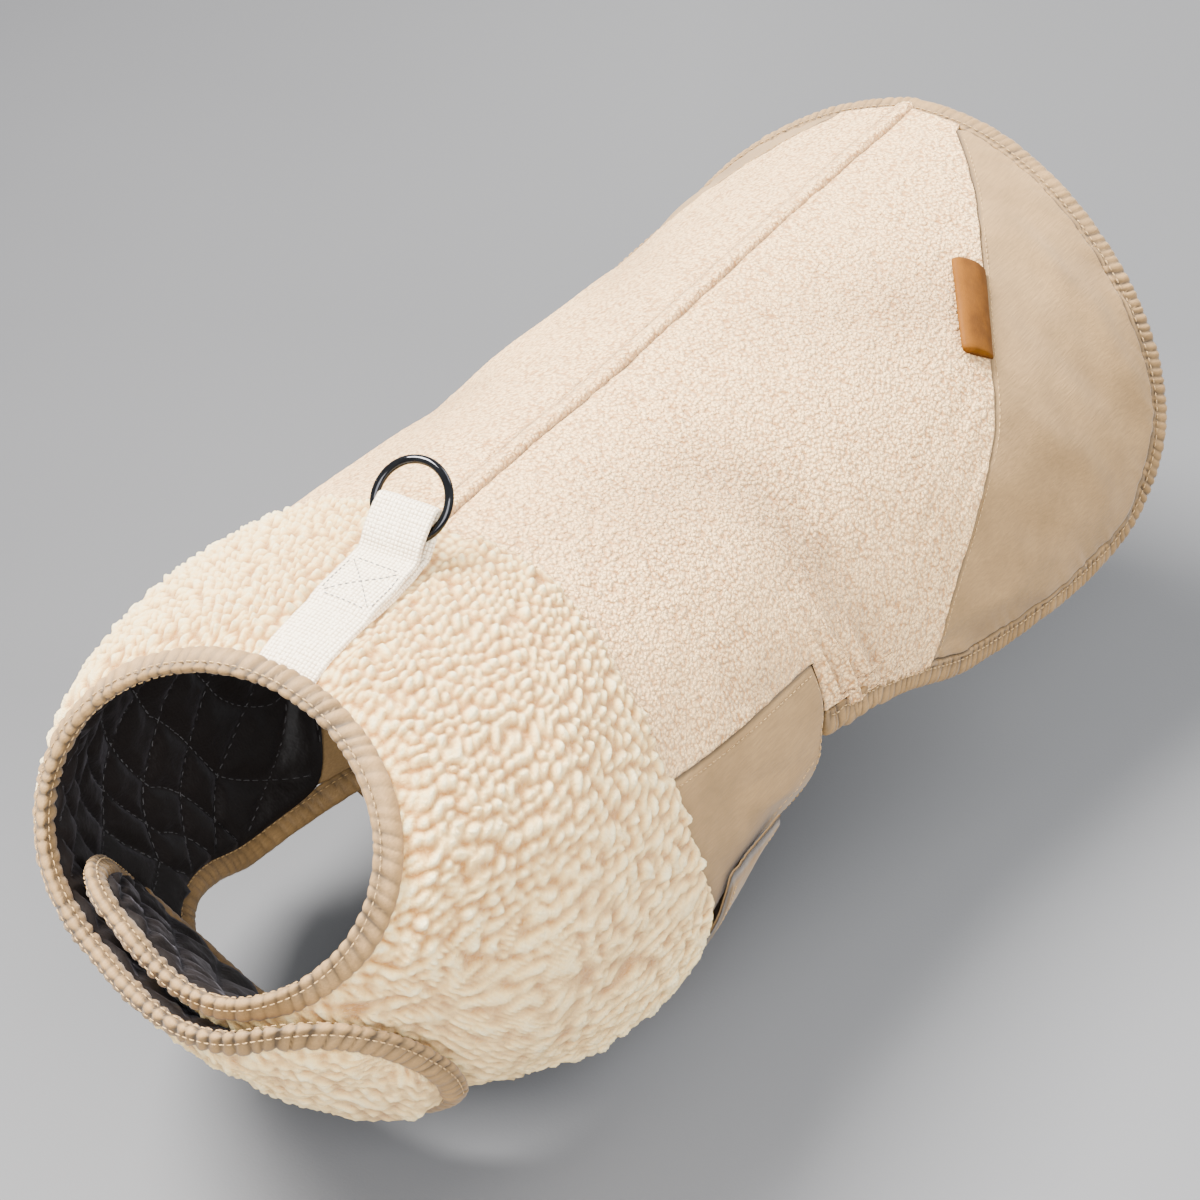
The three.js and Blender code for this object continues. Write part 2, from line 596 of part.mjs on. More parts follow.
function webbing() {
  const base = SHERPA_PRESSED + 0.8 + WEBBING.thick / 2;
  const top = base + WEBBING.thick + GAP;
  const onBack = (u, off) => {
    const p = raised(u, 0, off);
    return [p.y, p.z];
  };
  const fold = spaced(8, (f) => {
    const angle = f * Math.PI;
    return ringPoint(2.4 - 2 * Math.sin(angle), -2 * Math.cos(angle));
  });
  const points = [
    ...[-137.4, -128, -118, -108, -98, -88].map((u) => onBack(u, base)),
    onBack(-80, base + 0.4), ringPoint(17.5, -4.2), ringPoint(14, -3.9), ringPoint(8, -3.3),
    ...fold, ringPoint(8, 3.2), ringPoint(14, 3.6), ringPoint(20, 2.6),
    ...[-89, -93, -101, -110].map((u) => onBack(u, top)),
  ];
  const crown = (k, x) => ((k < 7 || k > points.length - 5) ? raised(points[k][0], 0, 0).z
    - raised(points[k][0], turnAt(points[k][0], x), 0).z : 0);
  return strip(points, WEBBING.thick, WEBBING.width, WEBBING.x, crown);
}
add('webbing', webbing(), COLOURS.webbing);

const ring = new THREE.TorusGeometry(RING.centreRadius, RING.wire / 2, 10, 36);
const ringMetal = new THREE.MeshStandardMaterial({ color: 0x2a2a2c, roughness: 0.25, metalness: 1 });
const ringMesh = new THREE.Mesh(ring, ringMetal);
ringMesh.name = 'lead_ring';
ringMesh.position.set(...RING.centre);
ringMesh.rotation.x = Math.PI / 2 - ringLean;
group.add(ringMesh);

// Leather tab folded over, sewn into the left corner seam, its fold toward the spine
function leatherTab() {
  const seamPoints = [...CORNER_SEAM].reverse();
  const seamTurn = monotone(seamPoints.map((p) => p.u), seamPoints.map((p) => p.t));
  const loop = [[0, 0], [-10, 0], [-13, 0.5], [-14.4, 2.2], [-13, 3.9], [-10, 4.4], [0, 1.6]];
  return bar(spaced(6, (f) => {
    const u = mix(TAB.from, TAB.to, f);
    const along = { t: (seamTurn(u + 1) - seamTurn(u - 1)) / 2, u: 1 };
    return loop.map(([x, off]) => {
      const p = moved(1, { t: seamTurn(u), u }, along, x - TAB.setBack);
      return raised(p.u, p.t, FLEECE_OUT + GAP + off);
    });
  }));
}
add('leather_tab', leatherTab(), COLOURS.leather);

// Hook-and-loop patches on the meeting faces of the flaps and of the straps
function patch({ side, turns, stations, low, spread }) {
  const face = (off) => (i, j) => sided(side, mix(...stations, j / 2), mix(...turns, i / 10), off, spread);
  return wall({ columns: 10, rows: 2, inner: face(low), outer: face(low + TAPE_THICK) });
}
const chest = { turns: [160, 205], stations: [-132, -110], spread: FLAP_SPREAD };
const patches = {
  chest_loop_tape: { side: 1, ...chest, low: SHERPA_PRESSED + GAP },
  chest_hook_tape: { side: -1, ...chest, low: -LINING_PUFF - 1.6 },
  belly_loop_tape: {
    side: 1, turns: [160, 200], stations: [-4, 10], low: TWILL_OUT + GAP, spread: STRAP_SPREAD,
  },
  belly_hook_tape: { side: -1, turns: [165, 205], stations: [-22, -6], low: -1.7, spread: STRAP_SPREAD },
};
for (const [name, place] of Object.entries(patches)) add(name, patch(place), COLOURS.tape);

export default group;
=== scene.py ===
"""Dog winter coat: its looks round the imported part. Lengths are in millimetres until a mesh is made."""
import math

import bpy
import numpy as np
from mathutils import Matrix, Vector


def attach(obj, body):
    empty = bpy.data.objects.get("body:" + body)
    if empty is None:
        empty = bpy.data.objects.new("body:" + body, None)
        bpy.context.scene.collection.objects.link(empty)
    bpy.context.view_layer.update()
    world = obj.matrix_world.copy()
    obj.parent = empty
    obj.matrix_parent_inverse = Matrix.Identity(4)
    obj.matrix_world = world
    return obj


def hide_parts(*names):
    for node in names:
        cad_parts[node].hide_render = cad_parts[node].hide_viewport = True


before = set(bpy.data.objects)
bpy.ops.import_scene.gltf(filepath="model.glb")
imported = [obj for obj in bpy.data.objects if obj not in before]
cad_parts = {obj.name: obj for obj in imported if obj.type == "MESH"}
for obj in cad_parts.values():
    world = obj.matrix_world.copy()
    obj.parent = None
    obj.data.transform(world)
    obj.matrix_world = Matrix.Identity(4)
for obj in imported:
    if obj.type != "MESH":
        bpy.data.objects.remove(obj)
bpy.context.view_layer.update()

METRE = 0.001
DEG = math.pi / 180

# Body sections along the spine. u: place along the spine, x and z: place of the crest,
# lean: tilt of the section's plane in degrees, half: half width, crest: height above the widest line,
# belly: depth below it, top and low: powers of the outline, 2 is an ellipse, roll: turn about the crest.
SECTIONS = [
    dict(u=-148, x=-4, z=-5, lean=39, half=62, crest=51, belly=51, top=2.0, low=2.0, roll=0),
    dict(u=-118, x=0, z=0, lean=32, half=81, crest=66, belly=70, top=2.05, low=2.1, roll=0),
    dict(u=-84, x=0, z=2, lean=18, half=99, crest=84, belly=94, top=2.05, low=2.3, roll=1),
    dict(u=-45, x=0, z=2, lean=6, half=104, crest=102, belly=106, top=2.0, low=2.4, roll=1),
    dict(u=0, x=0, z=2, lean=0, half=107, crest=108, belly=88, top=1.95, low=1.5, roll=2),
    dict(u=60, x=0, z=0, lean=0, half=108, crest=110, belly=86, top=1.9, low=1.5, roll=3),
    dict(u=130, x=0, z=1, lean=0, half=114, crest=114, belly=104, top=1.85, low=2.0, roll=5),
    dict(u=210, x=0, z=2, lean=0, half=121, crest=120, belly=104, top=1.85, low=2.0, roll=8),
    dict(u=300, x=0, z=2, lean=0, half=127, crest=122, belly=104, top=1.9, low=2.0, roll=9),
]

# Outlines and seams: turn t in degrees round the body from the spine, and u
NECK_U = -148
SHERPA_REAR = [
    dict(t=0, u=-56), dict(t=10, u=-54), dict(t=20, u=-51), dict(t=34, u=-52), dict(t=50, u=-57),
    dict(t=65, u=-57), dict(t=76, u=-53), dict(t=88, u=-47), dict(t=101, u=-38), dict(t=126, u=-35),
]
STRAP_TOP_T = 71
STRAP_REAR = [
    dict(t=71, u=33), dict(t=79, u=34), dict(t=87, u=30), dict(t=110, u=25), dict(t=150, u=22),
    dict(t=215, u=20),
]
STRAP_END_T = {1: 208, -1: 262}
STRAP_FRONT = [
    dict(t=71, u=-55), dict(t=80, u=-51), dict(t=88, u=-47), dict(t=101, u=-38), dict(t=118, u=-35.4),
    dict(t=123.5, u=-34), dict(t=127, u=-22), dict(t=132, u=-12), dict(t=145, u=-11), dict(t=215, u=-11),
]
CORNER_SEAM = [
    dict(t=13.5, u=302), dict(t=25.7, u=268), dict(t=35.8, u=236), dict(t=48.2, u=201), dict(t=60, u=176),
    dict(t=71, u=144), dict(t=82, u=118), dict(t=94.5, u=103),
]
TAIL_EDGE = [
    dict(t=0, u=319), dict(t=20, u=313), dict(t=34, u=305), dict(t=48, u=297), dict(t=62, u=290),
    dict(t=73, u=284), dict(t=84, u=276), dict(t=95, u=262), dict(t=102, u=248), dict(t=105.5, u=232),
    dict(t=106.5, u=210), dict(t=106.5, u=182), dict(t=105.5, u=154), dict(t=103, u=126),
    dict(t=99.5, u=98), dict(t=94.5, u=64), dict(t=90, u=40), dict(t=88.6, u=31.5),
]
# The chest flap's edge from under the throat round its end, back, and up the leg opening;
# lower: how much further round the point lies on the left side
FLAP_EDGE = [
    dict(t=180, u=-148), dict(t=206, u=-148), dict(t=222, u=-146), dict(t=232, u=-138), dict(t=236, u=-123),
    dict(t=234, u=-106), dict(t=226, u=-95), dict(t=213, u=-88), dict(t=195, u=-86), dict(t=176, u=-85),
    dict(t=158, u=-83, lower=3), dict(t=144, u=-77, lower=8), dict(t=134, u=-68, lower=13),
    dict(t=130.5, u=-59, lower=13), dict(t=130.5, u=-48, lower=8), dict(t=131.5, u=-34, lower=2),
    dict(t=134, u=-20),
]

# Walls: offsets out from the lining's seat, negative is inside
GAP = 0.3
FLEECE_OUT = 2.8
TWILL_OUT = 2.3
SHERPA_OUT = 8
SHERPA_PRESSED = 4
LINING_STITCHED = 2.2
LINING_PUFF = 5.2
BINDING_WIDTH = 10
FLAP_SPREAD = 11.6
STRAP_SPREAD = 4.4
TUCK = 1.6
PILE_INSET = BINDING_WIDTH - TUCK
OVERLAP = (150, 210)
FLAP_REAR_U = -102
YOKE_REAR_U = -46
FLAP_CORNER_U = -74
LOWER_START_U = 35
LINING_TAIL_TURN = 93
LEG_START_TURN = 88
THROAT_TURN = 184
LEG_END_U = -34
MM_PER_DEGREE = 1.9

# Trim
WELT = dict(left=3.6, right=4.4, height=5)
WEBBING = dict(width=23.6, thick=1.8, x=5)
RING = dict(wire=3.2, radius=14, centre=(5, -68.5, 24.6), lean=40)
WEBBING_COLUMNS = 25
TAB = dict(front=196, rear=228.5, set_back=1.6)
TAPE_THICK = 0.9

SIDES = {1: "left", -1: "right"}


def monotone(xs, ys):
    """A smooth curve through the points that never overshoots them."""
    xs = np.asarray(xs, float)
    ys = np.asarray(ys, float)
    h = np.diff(xs)
    slope = np.diff(ys) / h
    d = np.zeros(len(xs))
    for k in range(1, len(xs) - 1):
        if slope[k - 1] * slope[k] > 0:
            a = 2 * h[k] + h[k - 1]
            b = h[k] + 2 * h[k - 1]
            d[k] = (a + b) / (a / slope[k - 1] + b / slope[k])
    d[0] = slope[0]
    d[-1] = slope[-1]

    def curve(x):
        c = np.clip(x, xs[0], xs[-1])
        k = np.clip(np.searchsorted(xs, c) - 1, 0, len(xs) - 2)
        s = (c - xs[k]) / h[k]
        s2 = s * s
        s3 = s2 * s
        return (ys[k] * (2 * s3 - 3 * s2 + 1) + d[k] * h[k] * (s3 - 2 * s2 + s)
                + ys[k + 1] * (3 * s2 - 2 * s3) + d[k + 1] * h[k] * (s3 - s2))
    return curve


def table(rows, x, y):
    return monotone([r[x] for r in rows], [r[y] for r in rows])


ALONG = {key: table(SECTIONS, "u", key) for key in SECTIONS[0]}


def signed_power(x, p):
    return np.sign(x) * np.abs(x) ** p


def smooth(x):
    c = np.clip(x, 0, 1)
    return c * c * (3 - 2 * c)


def mix(a, b, f):
    return a + (b - a) * f


def seat(u, t):
    """The seat of the lining at station u and turn t."""
    u, t = np.broadcast_arrays(np.asarray(u, float), np.asarray(t, float))
    at = {key: curve(u) for key, curve in ALONG.items()}
    c = np.cos(t * DEG)
    s = np.sin(t * DEG)
    power = 2 / np.where(c >= 0, at["top"], at["low"])
    x = at["half"] * signed_power(s, power)
    v = np.where(c >= 0, at["crest"], at["belly"]) * signed_power(c, power) - at["crest"]
    roll = at["roll"] * DEG
    lean = at["lean"] * DEG
    across = x * np.cos(roll) - v * np.sin(roll)
    up = x * np.sin(roll) + v * np.cos(roll)
    return np.stack([across + at["x"], u + up * np.sin(lean), at["z"] + up * np.cos(lean)], -1)


def unit(v):
    return v / np.maximum(np.linalg.norm(v, axis=-1, keepdims=True), 1e-9)


def outward(u, t):
    du = seat(u + 0.5, t) - seat(u - 0.5, t)
    dt = seat(u, t + 0.5) - seat(u, t - 0.5)
    return unit(np.cross(dt, du))


def sided(side, u, turn, off, spread=0.0):
    """A point of a left piece (side 1) or its mirror image (side -1), moved out where two sides overlap:
    the right one goes outside, the left one inside."""
    u, turn = np.broadcast_arrays(np.asarray(u, float), np.asarray(turn, float))
    shift = -side * spread * smooth((turn - OVERLAP[0]) / (OVERLAP[1] - OVERLAP[0]))
    return seat(u, side * turn) + outward(u, side * turn) * (off + shift)[..., None]


def turn_at(u, x):
    """The turn whose point lies x to the side of the spine."""
    return np.sign(x) * np.arcsin((np.abs(x) / ALONG["half"](u)) ** (ALONG["top"](u) / 2)) / DEG


def moved(side, t, u, dt, du, distance):
    """A point moved right of its direction by so many millimetres on the seat."""
    steps = 4
    for _ in range(steps):
        turnwise = seat(u, side * (t + 0.5)) - seat(u, side * (t - 0.5))
        lengthwise = seat(u + 0.5, side * t) - seat(u - 0.5, side * t)
        g11 = (turnwise ** 2).sum(-1)
        g12 = (turnwise * lengthwise).sum(-1)
        g22 = (lengthwise ** 2).sum(-1)
        a = g12 * dt + g22 * du
        b = -(g11 * dt + g12 * du)
        scale = distance / steps / np.sqrt(a * a * g11 + 2 * a * b * g12 + b * b * g22)
        t = t + a * scale
        u = u + b * scale
    return t, u


class Route:
    """A smooth line through {t, u} points, by its share of length."""

    def __init__(self, points):
        p = np.array([(r["t"] * MM_PER_DEGREE, r["u"]) for r in points], float)
        p = np.vstack([2 * p[0] - p[1], p, 2 * p[-1] - p[-2]])
        pieces = []
        for p0, p1, p2, p3 in zip(p, p[1:], p[2:], p[3:]):
            d0, d1, d2 = (math.sqrt(np.linalg.norm(b - a)) for a, b in ((p0, p1), (p1, p2), (p2, p3)))
            m1 = ((p1 - p0) / d0 - (p2 - p0) / (d0 + d1) + (p2 - p1) / d1) * d1
            m2 = ((p2 - p1) / d1 - (p3 - p1) / (d1 + d2) + (p3 - p2) / d2) * d1
            s = np.linspace(0, 1, 200, endpoint=False)[:, None]
            pieces.append(p1 + m1 * s + (3 * (p2 - p1) - 2 * m1 - m2) * s ** 2
                          + (2 * (p1 - p2) + m1 + m2) * s ** 3)
        self.xy = np.vstack([*pieces, p[-2]])
        steps = np.linalg.norm(np.diff(self.xy, axis=0), axis=1)
        self.arc = np.concatenate([[0], np.cumsum(steps)])

    def at(self, f):
        """Turn and station at shares of the length, and the direction there."""
        s = np.asarray(f, float) * self.arc[-1]

        def xy(q):
            return np.stack([np.interp(q, self.arc, self.xy[:, k]) for k in (0, 1)], -1)

        here = xy(s)
        ahead = unit(xy(np.minimum(s + 0.5, self.arc[-1])) - xy(np.maximum(s - 0.5, 0)))
        return here[..., 0] / MM_PER_DEGREE, here[..., 1], ahead[..., 0] / MM_PER_DEGREE, ahead[..., 1]

    def inset(self, f, distance, side=1):
        """Turn and station so many millimetres to the right of the line."""
        return moved(side, *self.at(f), distance)


sherpa_rear = table(SHERPA_REAR, "t", "u")
strap_rear = table(STRAP_REAR, "t", "u")
strap_front = table(STRAP_FRONT, "t", "u")
corner_seam = table(CORNER_SEAM, "t", "u")
tail_edge = Route(TAIL_EDGE)
seam_route = Route(CORNER_SEAM)
flap_edge = {
    1: Route([dict(t=r["t"] + r.get("lower", 0), u=r["u"]) for r in FLAP_EDGE]),
    -1: Route(FLAP_EDGE),
}


def flap_seams(side):
    t, u = flap_edge[side].inset(np.linspace(0, 1, 91), -PILE_INSET, side)
    tip = int(t.argmax())
    leg = next(k for k in range(tip + 1, len(u)) if u[k] > FLAP_CORNER_U)
    return dict(
        front=monotone(t[:tip + 1], u[:tip + 1]), rear=monotone(t[leg:tip - 1:-1], u[leg:tip - 1:-1]),
        leg=monotone(u[leg:], t[leg:]), corner=(t[leg], u[leg]), tip=t[tip])


flap_seam = {side: flap_seams(side) for side in SIDES}
tail_inner = monotone(*tail_edge.inset(np.linspace(0, 0.5, 21), PILE_INSET))
lower_inner = monotone(*tail_edge.inset(np.linspace(1, 0.76, 17), PILE_INSET))
tail_turn = monotone(*tail_edge.inset(np.linspace(1, 0.47, 41), PILE_INSET)[::-1])


def neck_line(side, turn, inset):
    turn = np.asarray(turn, float)
    start = np.full_like(turn, NECK_U)
    return moved(side, turn, start, np.full_like(turn, -1), np.zeros_like(turn), inset)[1]


def toward_leg(side, turn):
    return smooth((turn - LEG_START_TURN) / (flap_seam[side]["corner"][0] - LEG_START_TURN))


def flap_row(side, turn):
    corner = flap_seam[side]["corner"]
    return np.where(turn < corner[0], mix(FLAP_REAR_U, corner[1], toward_leg(side, turn)),
                    flap_seam[side]["rear"](turn))


def toward_edge(side, t, u):
    """Turn of a body point drawn along with the leg opening's edge."""
    return t + (flap_seam[side]["leg"](u) - flap_seam[side]["corner"][0]) * toward_leg(side, t)


def even_turns(start, end, count, u):
    """Turns evenly spaced in millimetres at a station."""
    t = np.linspace(start, end, 3000)
    arc = lengths(seat(u, t), 0)
    return np.interp(np.linspace(0, arc[-1], count), arc, t)


# Patterns: repeatable scattered cells and soft noise over two coordinates

def hashed(ix, iy, salt):
    n = (ix.astype(np.int64) * 73856093) ^ (iy.astype(np.int64) * 19349663) ^ (salt * 83492791)
    n = ((n ^ (n >> 13)) * 1274126177) & 0xFFFFFFFF
    n = ((n ^ (n >> 15)) * 668265263) & 0xFFFFFFFF
    return ((n ^ (n >> 16)) & 0xFFFFFF) / 0xFFFFFF


def cells(x, y, salt):
    """Distances to the nearest and the second nearest scattered point, the nearest one's own number
    and the place in x from it."""
    ix = np.floor(x)
    iy = np.floor(y)
    first = np.full(x.shape, 9.0)
    second = np.full(x.shape, 9.0)
    tag = np.zeros(x.shape)
    ahead = np.zeros(x.shape)
    for a in (-1, 0, 1):
        for b in (-1, 0, 1):
            cx = ix + a
            cy = iy + b
            px = cx + 0.12 + 0.76 * hashed(cx, cy, salt)
            py = cy + 0.12 + 0.76 * hashed(cx, cy, salt + 7)
            d = np.hypot(x - px, y - py)
            nearer = d < first
            second = np.where(nearer, first, np.minimum(second, d))
            tag = np.where(nearer, hashed(cx, cy, salt + 13), tag)
            ahead = np.where(nearer, x - px, ahead)
            first = np.where(nearer, d, first)
    return first, second, tag, ahead


def pleats(s, salt):
    """Soft folds across a gathered strip: 1 on a crest, 0 between two, and the fold's own number."""
    k = np.floor(s)
    near = np.full(s.shape, 9.0)
    far = np.full(s.shape, 9.0)
    tag = np.zeros(s.shape)
    for a in (-1, 0, 1):
        at = k + a + 0.15 + 0.7 * hashed(k + a, 0 * k, salt)
        d = np.abs(s - at)
        nearer = d < near
        far = np.where(nearer, near, np.minimum(far, d))
        tag = np.where(nearer, hashed(k + a, 0 * k, salt + 5), tag)
        near = np.where(nearer, d, near)
    share = (far - near) / (far + near)
    return 1 - (1 - share) ** 2.2, tag


def ripple(x, y, salt):
    """Soft noise from -1 to 1."""
    ix = np.floor(x)
    iy = np.floor(y)
    fx = smooth(x - ix)
    fy = smooth(y - iy)
    low = mix(hashed(ix, iy, salt), hashed(ix + 1, iy, salt), fx)
    high = mix(hashed(ix, iy + 1, salt), hashed(ix + 1, iy + 1, salt), fx)
    return 2 * mix(low, high, fy) - 1


# Meshes

def make_mesh(name, points, quads, shade, body="coat", uv=None, facts=None):
    """A smooth mesh object from points in millimetres, on a body and a material slot."""
    points = points.reshape(-1, 3)
    used, index = np.unique(quads, return_inverse=True)
    quads = index.reshape(quads.shape)
    mesh = bpy.data.meshes.new(name)
    mesh.vertices.add(len(used))
    mesh.vertices.foreach_set("co", (points[used] * METRE).astype(np.float32).ravel())
    mesh.loops.add(quads.size)
    mesh.loops.foreach_set("vertex_index", quads.ravel().astype(np.int32))
    mesh.polygons.add(len(quads))
    mesh.polygons.foreach_set("loop_start", np.arange(0, quads.size, 4, dtype=np.int32))
    mesh.polygons.foreach_set("use_smooth", np.ones(len(quads), bool))
    mesh.update(calc_edges=True)
    for key, values in (facts or {}).items():
        layer = mesh.attributes.new(key, "FLOAT", "POINT")
        layer.data.foreach_set("value", values.ravel()[used].astype(np.float32))
    if uv is not None:
        layer = mesh.uv_layers.new(name="cloth")
        layer.data.foreach_set("uv", uv.reshape(-1, 2)[used][quads.ravel()].astype(np.float32).ravel())
    obj = bpy.data.objects.new(name, mesh)
    bpy.context.scene.collection.objects.link(obj)
    mesh.materials.append(shade)
    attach(obj, body)
    return obj


def cut(obj, width, length, area=None, held="stretched"):
    """Does nothing: the piece, its cut size in millimetres and square millimetres and how it is held are
    not used.
    """
    area and area * METRE ** 2


def grid_quads(n, m, keep=None, flip=False):
    """Faces of an n by m grid of points, in order, of the cells that keep picks."""
    i, j = np.meshgrid(np.arange(n - 1), np.arange(m - 1), indexing="ij")
    a = i * m + j
    faces = np.stack([a, a + m, a + m + 1, a + 1], -1)
    faces = faces.reshape(-1, 4) if keep is None else faces[keep]
    return faces[:, ::-1] if flip else faces


def ring_quads(rings, sides):
    """Faces of a closed bar through rings of points, with its two ends."""
    k, a = np.meshgrid(np.arange(rings - 1), np.arange(sides), indexing="ij")
    b = (a + 1) % sides
    here = k * sides
    ahead = here + sides
    walls = np.stack([here + a, here + b, ahead + b, ahead + a], -1).reshape(-1, 4)
    half = np.arange(1, sides // 2)
    cap = np.stack([half - 1, half, sides - 1 - half, sides - half], -1)
    return np.vstack([walls, cap[:, ::-1], cap + (rings - 1) * sides])


def wall_quads(n, m, side):
    """Faces of a wall: an n by m outer face, an inner one whose points follow it, and the rim between."""
    rim = np.concatenate([np.arange(m), np.arange(1, n) * m + m - 1,
                          (n - 1) * m + np.arange(m - 2, -1, -1), np.arange(n - 2, -1, -1) * m])
    edge = np.stack([rim[:-1], rim[1:], rim[1:] + n * m, rim[:-1] + n * m], -1)
    return np.vstack([grid_quads(n, m, None, side < 0), grid_quads(n, m, None, side > 0) + n * m,
                      edge if side < 0 else edge[:, ::-1]])


def lengths(points, axis):
    """Length along the lines of a grid of points, from their start."""
    steps = np.linalg.norm(np.diff(points, axis=axis), axis=-1)
    shape = list(steps.shape)
    shape[axis] = 1
    return np.concatenate([np.zeros(shape), np.cumsum(steps, axis=axis)], axis=axis)


def edge_distance(points, keep=None, skip=()):
    """How far each grid point lies from the kept cells' border, along the grid's lines."""
    n, m = points.shape[:2]
    kept = np.ones((n, m), bool)
    if keep is not None:
        kept[:] = False
        for a, b in ((0, 0), (1, 0), (0, 1), (1, 1)):
            kept[a:n - 1 + a, b:m - 1 + b] |= keep
    far = np.full((n, m), 1e3)
    for axis in (0, 1):
        along = lengths(points, axis)
        first = np.expand_dims(kept.argmax(axis), axis)
        size = kept.shape[axis]
        last = size - 1 - np.expand_dims(np.flip(kept, axis).argmax(axis), axis)
        if (axis, 0) not in skip:
            far = np.minimum(far, along - np.take_along_axis(along, first, axis))
        if (axis, 1) not in skip:
            far = np.minimum(far, np.take_along_axis(along, last, axis) - along)
    return np.maximum(far, 0)


def rounded(distance, radius):
    """Height share of a rounded edge at a distance from it."""
    c = np.clip(distance / radius, 0, 1)
    return np.sqrt(1 - (1 - c) ** 2)


# Materials

class Shade:
    """A node material in the making, with a short way to add and link nodes."""

    def __init__(self, name, **principled):
        self.material = bpy.data.materials.new(name)
        self.material.use_nodes = True
        self.tree = self.material.node_tree
        self.surface = self.tree.nodes["Principled BSDF"]
        self.place = self.node("ShaderNodeTexCoord").outputs["Object"]
        for key, value in principled.items():
            self.surface.inputs[key.replace("_", " ")].default_value = value

    def node(self, kind, inputs=None, **settings):
        made = self.tree.nodes.new(kind)
        for key, value in settings.items():
            setattr(made, key, value)
        for key, value in (inputs or {}).items():
            if isinstance(value, bpy.types.NodeSocket):
                self.tree.links.new(value, made.inputs[key])
            else:
                made.inputs[key].default_value = value
        return made

    def noise(self, scale, detail=2.0, rough=0.5, place=None):
        inputs = {"Vector": place or self.place, "Scale": scale, "Detail": detail, "Roughness": rough}
        return self.node("ShaderNodeTexNoise", inputs).outputs["Fac"]

    def nubs(self, scale, place=None):
        inputs = {"Vector": place or self.place, "Scale": scale}
        return self.node("ShaderNodeTexVoronoi", inputs).outputs["Distance"]

    def bent(self, scale, reach):
        """The place with a small push by noise."""
        push = self.node("ShaderNodeTexNoise", {"Vector": self.place, "Scale": scale}).outputs["Color"]
        small = self.node("ShaderNodeVectorMath", {0: push, 1: (reach, reach, reach)}, operation="MULTIPLY")
        moved_place = {0: self.place, 1: small.outputs[0]}
        return self.node("ShaderNodeVectorMath", moved_place, operation="ADD").outputs[0]

    def math(self, operation, a, b=0.0):
        return self.node("ShaderNodeMath", {0: a, 1: b}, operation=operation).outputs[0]

    def spread(self, value, low, high, to_low=0.0, to_high=1.0):
        return self.node("ShaderNodeMapRange", {"Value": value, "From Min": low, "From Max": high,
                                                "To Min": to_low, "To Max": to_high}).outputs["Result"]

    def blend(self, factor, a, b):
        made = self.node("ShaderNodeMix", {0: factor}, data_type="RGBA")
        for index, colour in ((6, a), (7, b)):
            if isinstance(colour, bpy.types.NodeSocket):
                self.tree.links.new(colour, made.inputs[index])
            else:
                made.inputs[index].default_value = (*colour, 1)
        return made.outputs[2]

    def fact(self, name):
        return self.node("ShaderNodeAttribute", attribute_name=name).outputs["Fac"]

    def colour(self, socket):
        self.tree.links.new(socket, self.surface.inputs["Base Color"])

    def bump(self, *layers):
        """Layers of (height, distance in millimetres, strength)."""
        normal = None
        for height, distance, strength in layers:
            inputs = {"Height": height, "Distance": distance * METRE, "Strength": strength}
            if normal:
                inputs["Normal"] = normal
            normal = self.node("ShaderNodeBump", inputs).outputs["Normal"]
        self.tree.links.new(normal, self.surface.inputs["Normal"])


WARM = (1.0, 0.82, 0.58, 1)


def fleece_shade():
    s = Shade("nubby_fleece", Roughness=0.95, Sheen_Weight=0.35, Sheen_Roughness=0.5, Sheen_Tint=WARM)
    bent = s.bent(420.0, 0.0018)
    nub = s.nubs(640.0, bent)
    fibre = s.noise(1900.0, 3.0, 0.7)
    patch = s.noise(28.0, 3.0, 0.6)
    mottled = s.noise(420.0, 2.0, 0.6)
    # Painted shade: the fleece is darker tan in the hollows between its nubs and lighter on their tops.
    tint = s.blend(s.spread(nub, 0.28, 0.72), (0.95, 0.60, 0.265), (0.38, 0.17, 0.045))
    tint = s.blend(s.spread(mottled, 0.45, 0.7, 0.0, 0.35), tint, (0.98, 0.72, 0.38))
    # Painted shade: near-dark brown along seams, in fold troughs and in the welt's grooves.
    tint = s.blend(s.fact("crevice_shade"), tint, (0.20, 0.10, 0.04))
    s.colour(s.blend(s.spread(patch, 0.35, 0.7, 0.0, 0.25), tint, (0.86, 0.52, 0.22)))
    s.bump((s.math("SUBTRACT", 1.0, nub), 1.7, 0.9), (fibre, 0.4, 0.5))
    return s.material


def sherpa_shade():
    s = Shade("curly_sherpa", Roughness=0.9, Sheen_Weight=0.5, Sheen_Roughness=0.4, Sheen_Tint=WARM,
              Subsurface_Weight=0.06, Subsurface_Scale=0.0015, Subsurface_Radius=(1.0, 0.7, 0.4))
    high = s.fact("pile_shade")
    fibre = s.noise(950.0, 4.0, 0.75)
    lump = s.noise(380.0, 2.0, 0.6)
    # Painted shade: the pile is dark tan deep between the tufts and pale cream on their tops.
    tint = s.blend(s.spread(high, 0.05, 0.35), (0.40, 0.165, 0.025), (0.97, 0.64, 0.235))
    tint = s.blend(s.spread(high, 0.3, 0.65), tint, (1.0, 0.84, 0.47))
    tint = s.blend(s.spread(fibre, 0.5, 0.75, 0.0, 0.35), tint, (0.84, 0.49, 0.15))
    s.colour(s.blend(s.spread(lump, 0.5, 0.72, 0.0, 0.3), tint, (0.92, 0.60, 0.22)))
    s.bump((lump, 1.6, 0.7), (fibre, 1.6, 0.9))
    return s.material


